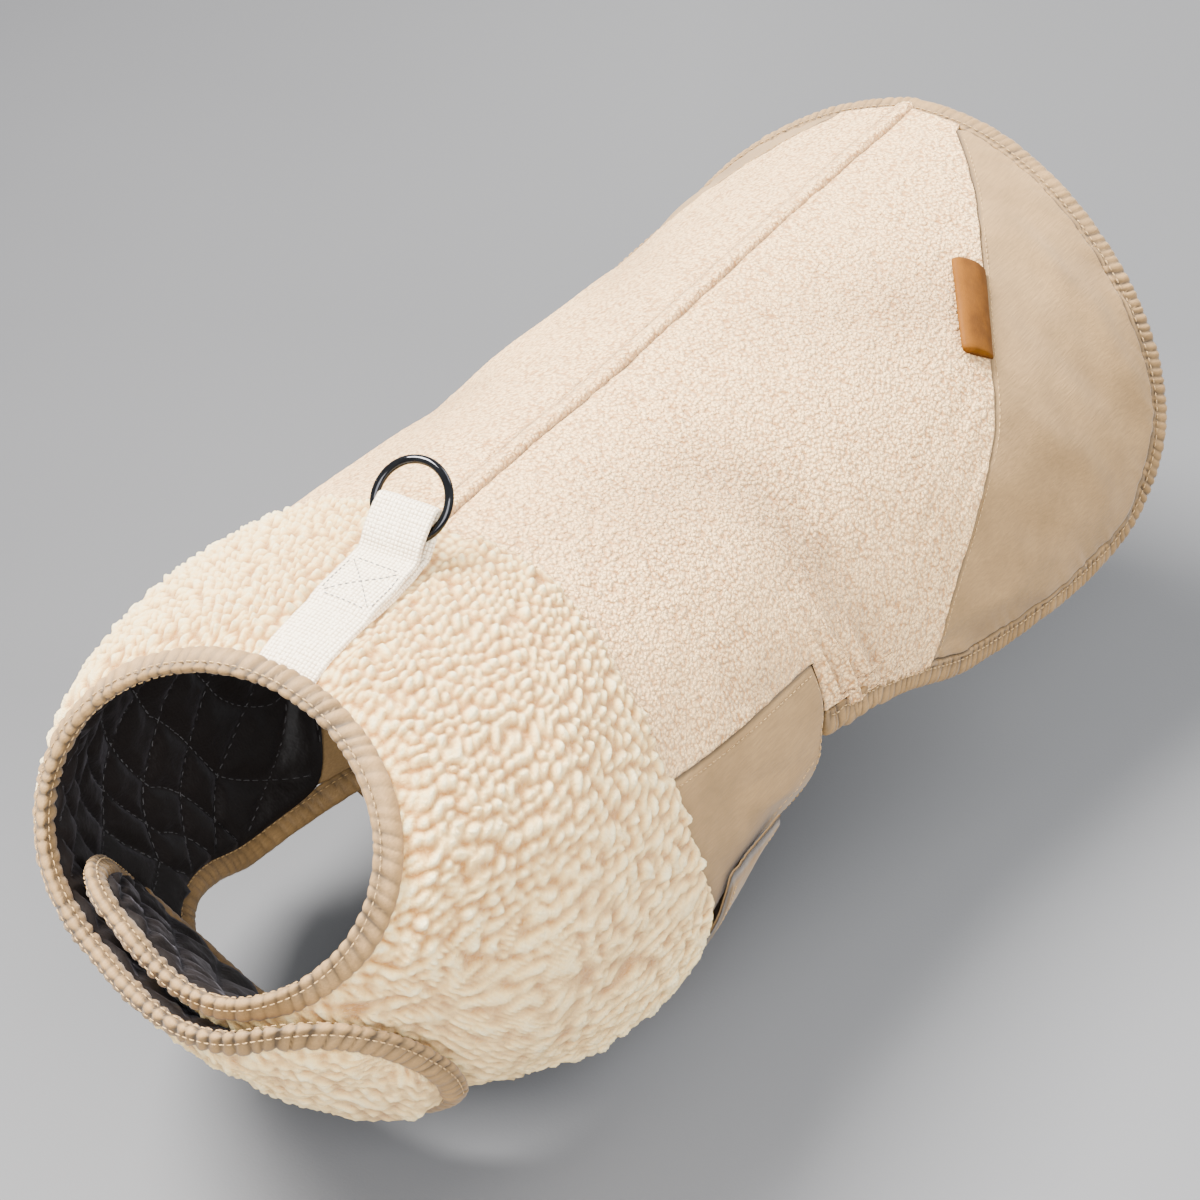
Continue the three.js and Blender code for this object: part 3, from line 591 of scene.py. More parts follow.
def woven_shade(name, light, dark, scale, roughness=0.75, sheen=0.12):
    """Plain close cloth: crossed threads, soft blotches, a little sheen, and painted shade along seams and
    in folds.
    """
    s = Shade(name, Roughness=roughness, Sheen_Weight=sheen, Sheen_Roughness=0.45)
    threads = []
    for turn in ((0.4, 0.3, 0.5), (0.4, 0.3, 2.1)):
        drawn = {"Vector": s.place, "Rotation": turn, "Scale": (1.0, 0.08, 1.0)}
        threads.append(s.noise(scale, 2.0, 0.6, s.node("ShaderNodeMapping", drawn).outputs["Vector"]))
    weave = s.math("ADD", *threads)
    blotch = s.noise(34.0, 4.0, 0.6)
    fine = s.noise(300.0, 2.0, 0.5)
    tint = s.blend(s.spread(blotch, 0.3, 0.7), dark, light)
    tint = s.blend(s.spread(weave, 0.8, 1.2, 0.0, 0.35), tint, tuple(0.62 * c for c in dark))
    # Painted shade: near black where the cloth's seams, gaps and folds fall into shade.
    s.colour(s.blend(s.fact("seam_and_fold_shade"), tint, tuple(0.12 * c for c in dark)))
    s.bump((weave, 0.22, 0.5), (fine, 0.6, 0.15))
    return s.material


def lining_shade():
    s = Shade("satin_lining", Roughness=0.6, Specular_IOR_Level=0.24, Sheen_Weight=0.05,
              Sheen_Roughness=0.35, Sheen_Tint=(0.75, 0.70, 0.80, 1))
    cloud = s.noise(45.0, 3.0, 0.6)
    crumple = s.noise(120.0, 3.0, 0.65)
    s.colour(s.blend(cloud, (0.0042, 0.0024, 0.0017), (0.0085, 0.0058, 0.005)))
    s.bump((crumple, 2.2, 0.35), (s.noise(2600.0, 1.0), 0.08, 0.3))
    return s.material


def webbing_shade():
    s = Shade("cotton_webbing", Roughness=0.9, Sheen_Weight=0.2)
    cloth = s.node("ShaderNodeUVMap", uv_map="cloth").outputs["UV"]
    part = s.node("ShaderNodeSeparateXYZ", {"Vector": cloth})
    across = s.math("SINE", s.math("MULTIPLY", part.outputs["X"], math.pi))
    along = s.math("SINE", s.math("MULTIPLY", part.outputs["Y"], math.pi))
    crossing = s.math("MULTIPLY", across, along)
    height = s.math("ABSOLUTE", crossing)
    # Painted shade: brown in the holes between the woven threads.
    hole = s.spread(height, 0.0, 0.45, 1.0, 0.0)
    hole_shade = s.math("MULTIPLY", hole, s.spread(s.noise(900.0), 0.35, 0.5))
    tint = s.blend(s.noise(220.0, 2.0), (0.95, 0.82, 0.62), (0.90, 0.75, 0.53))
    s.colour(s.blend(s.math("MULTIPLY", hole_shade, 0.8), tint, (0.34, 0.20, 0.09)))
    s.bump((height, 0.5, 0.8), (s.noise(2400.0, 2.0), 0.12, 0.4))
    return s.material


def leather_shade():
    s = Shade("tan_leather", Roughness=0.66, Specular_IOR_Level=0.12)
    grain = s.nubs(1500.0)
    cloud = s.noise(110.0, 4.0, 0.6)
    folded = s.fact("fold")
    tint = s.blend(s.spread(cloud, 0.3, 0.7), (0.066, 0.0215, 0.0009), (0.124, 0.042, 0.0017))
    # Painted highlight: lighter on the tab's rounded fold.
    s.colour(s.blend(s.math("MULTIPLY", folded, 0.3), tint, (0.20, 0.07, 0.004)))
    s.bump((grain, 0.2, 0.35), (cloud, 0.5, 0.2))
    return s.material


def metal_shade():
    s = Shade("gunmetal", Roughness=0.16, Metallic=1.0)
    worn = s.noise(160.0, 5.0, 0.7)
    s.colour(s.blend(s.spread(worn, 0.45, 0.8), (0.022, 0.022, 0.024), (0.04, 0.04, 0.042)))
    s.tree.links.new(s.spread(worn, 0.3, 0.8, 0.05, 0.12), s.surface.inputs["Roughness"])
    s.bump((s.noise(420.0, 3.0), 0.15, 0.12))
    return s.material


def thread_shade(name, tint, dark):
    s = Shade(name, Roughness=0.7, Sheen_Weight=0.1)
    strand = s.noise(2600.0, 2.0)
    s.colour(s.blend(s.spread(strand, 0.4, 0.65), dark, tint))
    s.bump((strand, 0.12, 0.6))
    return s.material


def tape_shade():
    s = Shade("hook_tape", Roughness=0.95)
    loop = s.nubs(1300.0)
    s.colour(s.blend(loop, (0.035, 0.034, 0.037), (0.006, 0.006, 0.007)))
    s.bump((loop, 0.5, 0.8))
    return s.material


FLEECE = fleece_shade()
SHERPA = sherpa_shade()
TWILL = woven_shade("khaki_twill", (0.315, 0.183, 0.066), (0.215, 0.122, 0.040), 1500.0)
BOUND = woven_shade("khaki_binding", (0.31, 0.176, 0.060), (0.215, 0.12, 0.038), 1500.0, 0.7, 0.1)
LINING = lining_shade()
COTTON = webbing_shade()
LEATHER = leather_shade()
METAL = metal_shade()
TAPE = tape_shade()
TAN_THREAD = thread_shade("tan_thread", (0.50, 0.31, 0.115), (0.24, 0.135, 0.045))
GREY_THREAD = thread_shade("grey_thread", (0.19, 0.18, 0.17), (0.08, 0.075, 0.07))
QUILT_THREAD = thread_shade("quilt_thread", (0.05, 0.045, 0.045), (0.018, 0.016, 0.016))


# Sewing: short raised stitches along a line

STITCH_RINGS = 4
STITCH_SIDES = 4

def resample(points, *others, step):
    along = lengths(points, 0)
    count = max(int(along[-1] / step), 2)
    s = np.linspace(0, along[-1], count)
    return [np.stack([np.interp(s, along, p[:, k]) for k in range(3)], -1) for p in (points, *others)]


def stitch_points(line, normals, pitch=3.0, length=2.3, radius=0.3, proud=0.12):
    """Points of all stitches along a line, as (stitch, ring, side, 3)."""
    along = lengths(line, 0)
    count = int((along[-1] - length) / pitch)
    start = (along[-1] - (count - 1) * pitch - length) / 2 + pitch * np.arange(count)
    share = np.array([0.0, 0.2, 0.8, 1.0])
    fat = np.array([0.4, 1.0, 1.0, 0.4])
    rise = np.array([-0.6, 0.6, 0.6, -0.6])
    s = start[:, None] + share * length
    at = np.stack([np.interp(s, along, line[:, k]) for k in range(3)], -1)
    up = unit(np.stack([np.interp(s, along, normals[:, k]) for k in range(3)], -1))
    ahead = unit(at[:, -1:] - at[:, :1]) * np.ones((1, STITCH_RINGS, 1))
    across = np.cross(ahead, up)
    at = at + up * (proud + radius * 0.4 * rise)[None, :, None]
    angle = (np.arange(STITCH_SIDES) + 0.5) / STITCH_SIDES * 2 * math.pi
    ring = across[:, :, None] * np.cos(angle)[:, None] + up[:, :, None] * np.sin(angle)[:, None]
    return at[:, :, None] + ring * (radius * fat)[None, :, None, None]


def sew(name, runs, shade, slot, **size):
    """One object with the stitches of several (line, normals) runs."""
    groups = [stitch_points(line, normals, **size) for line, normals in runs]
    points = np.concatenate(groups).reshape(-1, 3)
    faces = ring_quads(STITCH_RINGS, STITCH_SIDES)
    size_each = STITCH_RINGS * STITCH_SIDES
    count = len(points) // size_each
    quads = (faces[None] + size_each * np.arange(count)[:, None, None]).reshape(-1, 4)
    return make_mesh(name, points, quads, shade)


def surface_line(side, t, u, off, spread=0.0):
    t, u = np.broadcast_arrays(np.asarray(t, float), np.asarray(u, float))
    return sided(side, u, t, off, spread), outward(u, side * t)


# Soft creases: t and u of the middle, angle from the spine's direction, length, width, depth,
# where a plus depth is a ridge and a minus depth a trough
BODY_CREASES = [
    dict(t=77, u=40, angle=80, length=26, width=4.6, depth=2.8),
    dict(t=79, u=45.5, angle=82, length=30, width=4.2, depth=-2.4),
    dict(t=78, u=51, angle=78, length=32, width=4.8, depth=3.0),
    dict(t=81, u=57, angle=74, length=26, width=4.4, depth=-2.2),
    dict(t=80, u=64, angle=70, length=30, width=6, depth=2.2),
    dict(t=83, u=72, angle=66, length=24, width=6, depth=-1.8),
    dict(t=60, u=60, angle=82, length=60, width=26, depth=-1.6),
    dict(t=52, u=118, angle=60, length=80, width=30, depth=1.2),
    dict(t=30, u=30, angle=20, length=90, width=34, depth=-1.0),
    dict(t=70, u=10, angle=25, length=46, width=16, depth=-1.0),
    dict(t=36, u=190, angle=32, length=110, width=36, depth=-1.1),
    dict(t=66, u=-20, angle=75, length=50, width=20, depth=0.9),
]
CORNER_CREASES = [
    dict(t=62, u=236, angle=68, length=56, width=15, depth=-1.3),
    dict(t=76, u=212, angle=60, length=60, width=13, depth=1.2),
    dict(t=88, u=190, angle=40, length=54, width=12, depth=-1.2),
    dict(t=48, u=262, angle=76, length=44, width=14, depth=1.1),
    dict(t=92, u=158, angle=22, length=50, width=10, depth=1.0),
    dict(t=70, u=262, angle=80, length=30, width=10, depth=0.9),
    dict(t=94, u=128, angle=30, length=36, width=9, depth=-0.9),
]
STRAP_CREASES = [
    dict(t=84, u=-10, angle=20, length=44, width=9, depth=-0.8),
    dict(t=96, u=6, angle=35, length=36, width=9, depth=0.9),
    dict(t=112, u=-12, angle=60, length=44, width=8, depth=-1.1),
    dict(t=126, u=4, angle=72, length=40, width=8, depth=1.0),
    dict(t=150, u=8, angle=80, length=40, width=9, depth=-0.9),
    dict(t=174, u=0, angle=84, length=34, width=9, depth=0.8),
]


def creases(rows, t, u, salt):
    """Height of the soft folds at t and u."""
    total = np.zeros(np.broadcast(t, u).shape)
    for k, row in enumerate(rows):
        x = (t - row["t"]) * MM_PER_DEGREE
        y = u - row["u"]
        c = math.cos(row["angle"] * DEG)
        s = math.sin(row["angle"] * DEG)
        along = x * s + y * c
        across = x * c - y * s + 2.5 * ripple(along / 17, along * 0 + k, salt)
        fade = 2.2 * (along / row["length"]) ** 2 + 3 * (across / row["width"]) ** 2
        total += row["depth"] * np.exp(-fade)
    return total


# Fleece backs

def fleece_back(side):
    strap_column = 126
    turns = np.concatenate([even_turns(0, STRAP_TOP_T, strap_column + 1, 120)[:-1],
                            even_turns(STRAP_TOP_T, 95.5, 45, 60)])
    front = 68
    rear = 214
    t = turns[:, None]
    seam_u = np.where(t < CORNER_SEAM[0]["t"], 400, corner_seam(t) - 0.1)
    end = np.minimum(seam_u, tail_inner(t))
    step = np.where(t < STRAP_TOP_T, strap_rear(STRAP_TOP_T), strap_rear(t) + 0.1)
    step = np.where(t > 82, np.maximum(step, lower_inner(t - 1.6)), step)
    rows_front = np.linspace(0, 1, front, endpoint=False)[None]
    rows_rear = np.linspace(0, 1, rear)[None]
    u = np.concatenate([mix(sherpa_rear(t) + GAP, step, rows_front), mix(step, end, rows_rear)], 1)
    spine = np.abs(turn_at(u, WELT["right"] - 0.4 if side > 0 else 0.4 - WELT["left"]))
    t = np.maximum(np.broadcast_to(t, u.shape), spine)
    keep = np.ones((len(turns) - 1, front + rear - 1), bool)
    keep[strap_column:, :front] = False
    base = sided(side, u, t, FLEECE_OUT)
    x = lengths(base, 0)
    y = lengths(base, 1)
    inner = edge_distance(base, keep)
    pitch = 3.1
    first, second, tag, _ = cells(x / pitch + 0.4 * ripple(x / 5, y / 5, 3), y / pitch, 11 + side)
    nub = np.clip((second - first) * 1.4, 0, 1) * (0.6 + 0.6 * tag)
    pucker = np.exp(-inner / 4.5) * 0.4 * ripple(x / 4.2, y / 4.2, 21)
    bunched = smooth((x - 88) / 30) * smooth((y - 74) / 20) * smooth((150 - y) / 50)
    knit = 0.55 * bunched * np.sin(y / 0.9 + 2.2 * ripple(x / 7, y / 11, 22))
    folds = creases(BODY_CREASES, t, u, 40 + side) * rounded(inner, 5)
    grain = (0.2 + 0.3 * bunched) * (nub - 0.5) * rounded(inner, 3)
    off = (FLEECE_OUT * mix(0.5, 1, rounded(inner, 1.9)) + grain + 0.35 * ripple(x / 13, y / 13, 5)
           + pucker + 0.5 * knit * rounded(inner, 5) + folds)
    # Painted shade: darker along the panel's edges and in the troughs of its folds.
    crevice_shade = np.maximum(0.75 * np.exp(-(inner / 0.9) ** 2), np.clip(-folds / 3, 0, 0.45))
    obj = make_mesh(f"fleece_{SIDES[side]}", sided(side, u, t, off), grid_quads(*u.shape, keep, side < 0),
                    FLEECE, facts={"crevice_shade": crevice_shade})
    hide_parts(f"back_{SIDES[side]}")
    cut(obj, 165, 375, 43500)


# Raised welt on the centre-back seam

def centre_welt():
    rings = 360
    u = np.linspace(sherpa_rear(0) + GAP, tail_inner(0), rings)[:, None]
    left = -WELT["left"]
    right = WELT["right"]
    high = WELT["height"]
    profile = np.array([
        (left + 0.3, 0.4), (left * 0.4, 0.3), (right * 0.4, 0.3), (right - 0.3, 0.4),
        (right - 0.1, 1.9), (right - 0.5, high - 1.1), (right - 1.3, high - 0.2), (right - 2.3, high + 0.1),
        (1.1, high - 0.1), (-0.9, high - 0.3), (-1.7, high - 1.3), (-2.3, high - 0.9),
        (left + 0.5, high - 1.4), (left + 0.2, 1.9),
    ])
    # Painted shade in the grooves along the welt's foot and on its top.
    dark = np.zeros(len(profile))
    dark[[0, 1, 2, 3, 4, 13]] = 0.7
    dark[[9, 10, 11]] = (0.25, 0.95, 0.3)
    x, off = profile[None, :, 0], profile[None, :, 1]
    lively = 0.22 * ripple(u / 9, x / 3, 31) + 0.16 * ripple(u / 3.2, x / 2, 32)
    points = sided(1, u, turn_at(u, x + 0.2 * ripple(u / 14, u * 0, 33)), off + lively * (off > 1))
    obj = make_mesh("centre_welt", points, ring_quads(rings, len(profile)), FLEECE,
                    facts={"crevice_shade": dark + 0 * points[..., 0]})
    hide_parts("centre_welt")
    cut(obj, 12, 365, held="folded")
    u = u[:, 0]
    line = surface_line(1, turn_at(u, right + 0.5), u, 1.9)
    sew("welt_stitches", [line], TAN_THREAD, "fleece", pitch=3.2, length=2.2, radius=0.22, proud=0.0)


# Rear corner panels

def corner_panel(side):
    steps = 210
    across = 90
    f = np.linspace(0, 1, steps)
    at, au = seam_route.inset(f, 0.2, side)
    bt, bu = tail_edge.inset(mix(0.072, 0.845, f), PILE_INSET, side)
    share = np.linspace(0, 1, across)[None]
    t = mix(at[:, None], bt[:, None], share)
    u = mix(au[:, None], bu[:, None], share)
    base = sided(side, u, t, TWILL_OUT)
    x = lengths(base, 0)
    inner = edge_distance(base)
    from_binding = lengths(base, 1)[:, -1:] - lengths(base, 1)
    gather = np.exp(-from_binding / 7) * (0.75 * ripple(x[:, -1:] / 3.4, share * 0, 51)
                                          + 0.5 * ripple(x[:, -1:] / 8, share * 0, 52))
    pucker = np.exp(-inner / 5) * 0.22 * ripple(x / 3, lengths(base, 1) / 9, 53)
    crack = np.exp(-((from_binding - TUCK - 0.9 - 0.7 * ripple(x[:, -1:] / 9, share * 0, 55)) / 0.8) ** 2)
    off = (TWILL_OUT * mix(0.62, 1.12, rounded(inner, 1.1)) + gather * rounded(from_binding, 1.5) + pucker
           - 1.5 * crack + 0.4 * ripple(x / 22, from_binding / 15, 54)
           + creases(CORNER_CREASES, t, u, 60 + side) * rounded(inner, 8))
    # Painted shade along the panel's edges and in the thin gap beside the tail binding.
    obj = make_mesh(f"corner_{SIDES[side]}", sided(side, u, t, off),
                    grid_quads(steps, across, None, side < 0), TWILL,
                    facts={"seam_and_fold_shade": np.maximum(0.8 * np.exp(-(inner / 1.1) ** 2), crack)})
    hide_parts(f"corner_{SIDES[side]}")
    cut(obj, 118, 225, 16400)
    lt, lu = seam_route.inset(mix(0.02, 0.98, f), -1.7, side)
    line = surface_line(side, lt, lu, TWILL_OUT * 1.06)
    sew(f"corner_stitches_{SIDES[side]}", [line], TAN_THREAD, "twill", pitch=3.0, length=2.1, radius=0.26)


# Curly yokes with their chest flaps

def softened(field):
    """A field evened out over its nearest neighbours, so that no hollow is sharper than the grid."""
    for axis in (0, 1):
        wide = np.pad(field, [(1, 1) if k == axis else (0, 0) for k in (0, 1)], mode="edge")
        before, after = (wide[:-2], wide[2:]) if axis == 0 else (wide[:, :-2], wide[:, 2:])
        field = 0.5 * field + 0.25 * (before + after)
    return field


def pile_reach(side, points, turn):
    """How far the pile reaches: it is pressed under the webbing and between the flaps."""
    x = np.where(turn < 60, points[..., 0], side * 99.0)
    from_webbing = np.abs(x - WEBBING["x"]) - WEBBING["width"] / 2
    under = 1 - smooth((from_webbing - 0.2) / 5)
    between = smooth((turn - 186) / 22) if side > 0 else 0 * turn
    return mix(SHERPA_OUT, SHERPA_PRESSED, np.maximum(under, between))


def yoke(side):
    seam = flap_seam[side]
    corner_t = seam["corner"][0]
    leg_column = 410
    band = 50
    body = 72
    turns = np.concatenate([even_turns(0.2, corner_t, leg_column + 1, -100)[:-1],
                            even_turns(corner_t, seam["tip"] - 0.3, 220, -110)])
    t = turns[:, None]
    front = np.where(t < THROAT_TURN, neck_line(side, t, PILE_INSET), seam["front"](t))
    row = flap_row(side, t)
    fringe = 2.4 + 0.9 * ripple(t / 2.2, 0 * t, 60) + 0.7 * ripple(t / 0.9, 0 * t, 59)
    u = np.concatenate([mix(front, row, np.linspace(0, 1, band, endpoint=False)[None]),
                        mix(row, sherpa_rear(t) + fringe, np.linspace(0, 1, body)[None])], 1)
    behind = (np.arange(u.shape[1]) >= band)[None] & (t <= corner_t)
    turn = np.where(behind, toward_edge(side, t, u), t)
    keep = np.ones((len(turns) - 1, band + body - 1), bool)
    keep[leg_column:, band:] = False
    base = sided(side, u, turn, SHERPA_OUT * 0.7, FLAP_SPREAD)
    x = lengths(base, 0)
    y = lengths(base, 1)
    fall = smooth((turn - 22) / 50)
    steps = np.diff(x, axis=0) / (1 + 0.55 * fall[1:])
    run = np.concatenate([np.zeros((1, x.shape[1])), np.cumsum(steps, axis=0)])
    tuft = 3.7
    wx = run / tuft + 0.5 * ripple(x / 8, y / 8, 61) + 0.1 * ripple(x / 3, y / 3, 62)
    wy = y / tuft + 0.5 * ripple(x / 8, y / 8, 63) + 0.1 * ripple(x / 3, y / 3, 64) + 0.3 * wx
    first, second, tag, ahead = cells(wx, wy, 71 + side)
    share = (second - first) / (second + first)
    bead = softened(smooth(share * 1.45))
    small_first, small_second, _, _ = cells(wx * 2.1 + 3, wy * 2.1, 81 + side)
    lump = softened((small_second - small_first) / (small_second + small_first))
    from_bound = edge_distance(base, keep, skip=((0, 0), (1, 1)))
    from_bound[leg_column:] = edge_distance(base, keep, skip=((0, 0),))[leg_column:]
    from_rear = y[:, -1:] - y
    from_rear[leg_column:] = 99
    from_rear[leg_column - 1:leg_column + 1] = 99
    reach = pile_reach(side, base, turn)
    flat = (reach - SHERPA_PRESSED) / (SHERPA_OUT - SHERPA_PRESSED)
    high = bead * (0.7 + 0.4 * softened(tag))
    shingle = 0.5 * fall * softened(ahead) * bead
    depth = mix(1.0, 3.7, flat)
    wave = 0.8 * ripple(x / 16, y / 16, 65) * flat
    off = (reach - 0.7 * flat + depth * (high - 0.66) + shingle
           + 0.35 * (lump - 0.4) * mix(0.4, 1, flat) + wave)
    off = off * mix(0.36, 1, smooth(from_bound / 12)) * mix(0.42, 1, rounded(from_rear + 0.4, 4.6))
    points = sided(side, u, turn, np.maximum(off, 1.0), FLAP_SPREAD)
    # Painted shade: lighter on the tufts' tops, darker in the hollows between them.
    light = bead * (0.75 + 0.3 * softened(tag)) * (0.7 + 0.45 * lump)
    obj = make_mesh(f"sherpa_{SIDES[side]}", points, grid_quads(*u.shape, keep, side < 0), SHERPA,
                    facts={"pile_shade": light})
    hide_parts(f"sherpa_{SIDES[side]}")
    cut(obj, 105, 480, 39900)


# Belly panels with their straps, as walls with two faces

def strap_skew(side, t):
    """How far the right strap is drawn forward on its way under the belly."""
    return 0 * t if side > 0 else -18 * smooth((t - 150) / 100)


def strap_narrowing(t):
    return 5 * smooth((t - 100) / 90)


def belly_strap(side):
    end = STRAP_END_T[side]
    bend = 139
    turns = np.concatenate([even_turns(STRAP_TOP_T - 0.05, bend, 88, 0)[:-1], even_turns(bend, end, 62, 0)])
    rows = 46
    t = turns[:, None]
    a = strap_front(t)
    b = strap_rear(t) - 0.1 - strap_narrowing(t)
    share = np.linspace(0, 1, rows)[None]
    u = mix(a, b, share) + strap_skew(side, t)
    t = np.broadcast_to(t, u.shape)
    base = sided(side, u, t, TWILL_OUT, STRAP_SPREAD)
    x = lengths(base, 0)
    y = lengths(base, 1)
    inner = edge_distance(base)
    folds = creases(STRAP_CREASES, t, u, 90 + side)
    pucker = np.exp(-inner / 4) * 0.25 * ripple(x / 3.2, y / 3.2, 91)
    off = (TWILL_OUT * mix(0.6, 1.1, rounded(inner, 1.1)) + pucker + 0.3 * ripple(x / 15, y / 15, 92)
           + folds * rounded(inner, 8))
    outer = sided(side, u, t, off, STRAP_SPREAD)
    lower = sided(side, u, t, np.minimum(off - 0.9, TWILL_OUT - 0.9), STRAP_SPREAD)
    # Painted shade along the edges of the strap's outer face.
    obj = make_mesh(f"belly_strap_{SIDES[side]}", np.stack([outer, lower]), wall_quads(*u.shape, side),
                    TWILL,
                    facts={"seam_and_fold_shade": np.concatenate([0.8 * np.exp(-(inner / 1.1) ** 2), 0 * inner])})
    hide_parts(f"belly_strap_{SIDES[side]}")
    cut(obj, 70, 235 if side > 0 else 310, 11900 if side > 0 else 15600)
    s = np.linspace(0, 1, 200)
    top_u = mix(strap_front(STRAP_TOP_T) + 3, strap_rear(STRAP_TOP_T) - 2, s)
    lines = [surface_line(side, STRAP_TOP_T + 1.6, top_u, TWILL_OUT * 1.1 + 0.2)]
    run = mix(STRAP_TOP_T + 2, end - 2, s)
    rear_u = strap_rear(run) - GAP - strap_narrowing(run) - 2.2 + strap_skew(side, run)
    lines.append(surface_line(side, run, rear_u, TWILL_OUT + 0.1, STRAP_SPREAD))
    low = mix(STRAP_TOP_T + 3, end - 2, s)
    front_u = strap_front(low) + 2.2 + strap_skew(side, low)
    lines.append(surface_line(side, low, front_u, TWILL_OUT + 0.1, STRAP_SPREAD))
    hem_t = mix(91, 121, s)
    hem_u = mix(strap_rear(94) - 4, strap_front(121) + 4, s)
    hem_off = TWILL_OUT + creases(STRAP_CREASES, hem_t, hem_u, 90 + side)
    lines.append(surface_line(side, hem_t, hem_u, hem_off))
    sew(f"strap_stitches_{SIDES[side]}", lines, TAN_THREAD, "twill", pitch=2.9, length=2.1, radius=0.24)


# Quilted lining: stitched low on crossing lines and puffed inward between them

def lining(side):
    seam = flap_seam[side]
    corner_t = seam["corner"][0]
    body_columns, flap_columns, front_rows, yoke_rows, rear_rows = 14, 10, 5, 5, 24
    fine = 7
    i = np.linspace(0, body_columns + flap_columns, (body_columns + flap_columns) * fine + 1)[:, None]
    j = np.linspace(0, front_rows + rear_rows, (front_rows + rear_rows) * fine + 1)[None]
    share = np.minimum(i / body_columns, 1)
    flap_turn = mix(corner_t, seam["tip"] - 0.5, (i - body_columns) / flap_columns)
    start_turn = np.where(i > body_columns, flap_turn, share * corner_t)
    start = np.where(start_turn < THROAT_TURN, neck_line(side, start_turn, PILE_INSET),
                     seam["front"](start_turn))
    row = np.where(i > body_columns, flap_row(side, flap_turn), flap_row(side, share * corner_t))
    end = tail_inner(share * LINING_TAIL_TURN)
    behind = j - front_rows
    u = np.where(behind <= 0, mix(start, row, j / front_rows),
                 np.where(behind <= yoke_rows, mix(row, YOKE_REAR_U, behind / yoke_rows),
                          mix(YOKE_REAR_U, end, (behind - yoke_rows) / (rear_rows - yoke_rows))))
    strap_end = LOWER_START_U + 8
    over_strap = monotone([LEG_END_U, -20, -4, 12, strap_end],
                          [seam["leg"](LEG_END_U), seam["leg"](-20) - 1, 116, 103, tail_turn(strap_end)])
    edge = np.where(u < LEG_END_U, np.minimum(seam["leg"](u), corner_t),
                    np.where(u < strap_end, over_strap(u), tail_turn(u)))
    turn = np.where(i > body_columns, flap_turn, mix(0.15, edge, share))
    keep = np.ones((i.size - 1, j.size - 1), bool)
    keep[body_columns * fine:, front_rows * fine:] = False
    base = sided(side, u, turn, -LINING_STITCHED, FLAP_SPREAD)
    p = (i + j) / 2
    q = (i - j) / 2
    toward = [np.abs(v - np.round(v)) * 2 for v in (p, q)]
    hollow = np.minimum(*toward)
    puff = 1 - (1 - np.clip(hollow * 1.3, 0, 1)) ** 2.2
    x = lengths(base, 0)
    y = lengths(base, 1)
    inner = edge_distance(base, keep)
    crumple = 0.55 * ripple(x / 7, y / 7, 101) + 0.3 * ripple(x / 3.4, y / 3.4, 102)
    depth = (LINING_STITCHED + (LINING_PUFF - LINING_STITCHED) * puff * rounded(inner, 10)
             + crumple * (0.25 + puff))
    depth = mix(1.2, depth, rounded(inner, 2))
    obj = make_mesh(f"lining_{SIDES[side]}", sided(side, u, turn, -depth, FLAP_SPREAD),
                    grid_quads(*u.shape, keep, side > 0), LINING)
    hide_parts(f"lining_{SIDES[side]}")
    cut(obj, 300, 470, 95000)
    runs = []
    shortest = 30
    line_i = np.linspace(0, body_columns, 500)
    stitched = sided(side, u, turn, -depth - 0.1, FLAP_SPREAD)
    for direction in (1, -1):
        for crossing in range(-24, 46, 2):
            line_j = direction * (crossing - line_i)
            inside = ((line_j > 0.15) & (line_j < front_rows + rear_rows - 0.15)
                      & (line_i < body_columns - 0.1))
            if inside.sum() >= shortest:
                runs.append(on_grid(stitched, line_i[inside] * fine, line_j[inside] * fine, side))
    sew(f"quilt_stitches_{SIDES[side]}", runs, QUILT_THREAD, "lining", pitch=4.6, length=2.9, radius=0.26,
        proud=0.1)


def on_grid(points, gi, gj, side):
    """Points and inward normals of a grid at fractional places."""
    i0 = np.clip(np.floor(gi).astype(int), 0, points.shape[0] - 2)
    j0 = np.clip(np.floor(gj).astype(int), 0, points.shape[1] - 2)
    fi = (gi - i0)[:, None]
    fj = (gj - j0)[:, None]
    p00, p10 = points[i0, j0], points[i0 + 1, j0]
    p01, p11 = points[i0, j0 + 1], points[i0 + 1, j0 + 1]
    at = mix(mix(p00, p10, fi), mix(p01, p11, fi), fj)
    return at, unit(np.cross(p01 - p00, p10 - p00)) * side


# Bindings: a gathered roll round an edge, sewn so far in from its free side

BINDING_SEAM = 3.0

def calmed(points, reach):
    """Points of a line evened out over so many neighbours, its ends kept."""
    padded = np.vstack([2 * points[:1] - points[reach:0:-1], points,
                        2 * points[-1:] - points[-2:-reach - 2:-1]])
    weights = np.hanning(2 * reach + 3)[1:-1]
    weights = weights / weights.sum()
    return np.stack([np.convolve(padded[:, k], weights, mode="valid") for k in range(3)], -1)


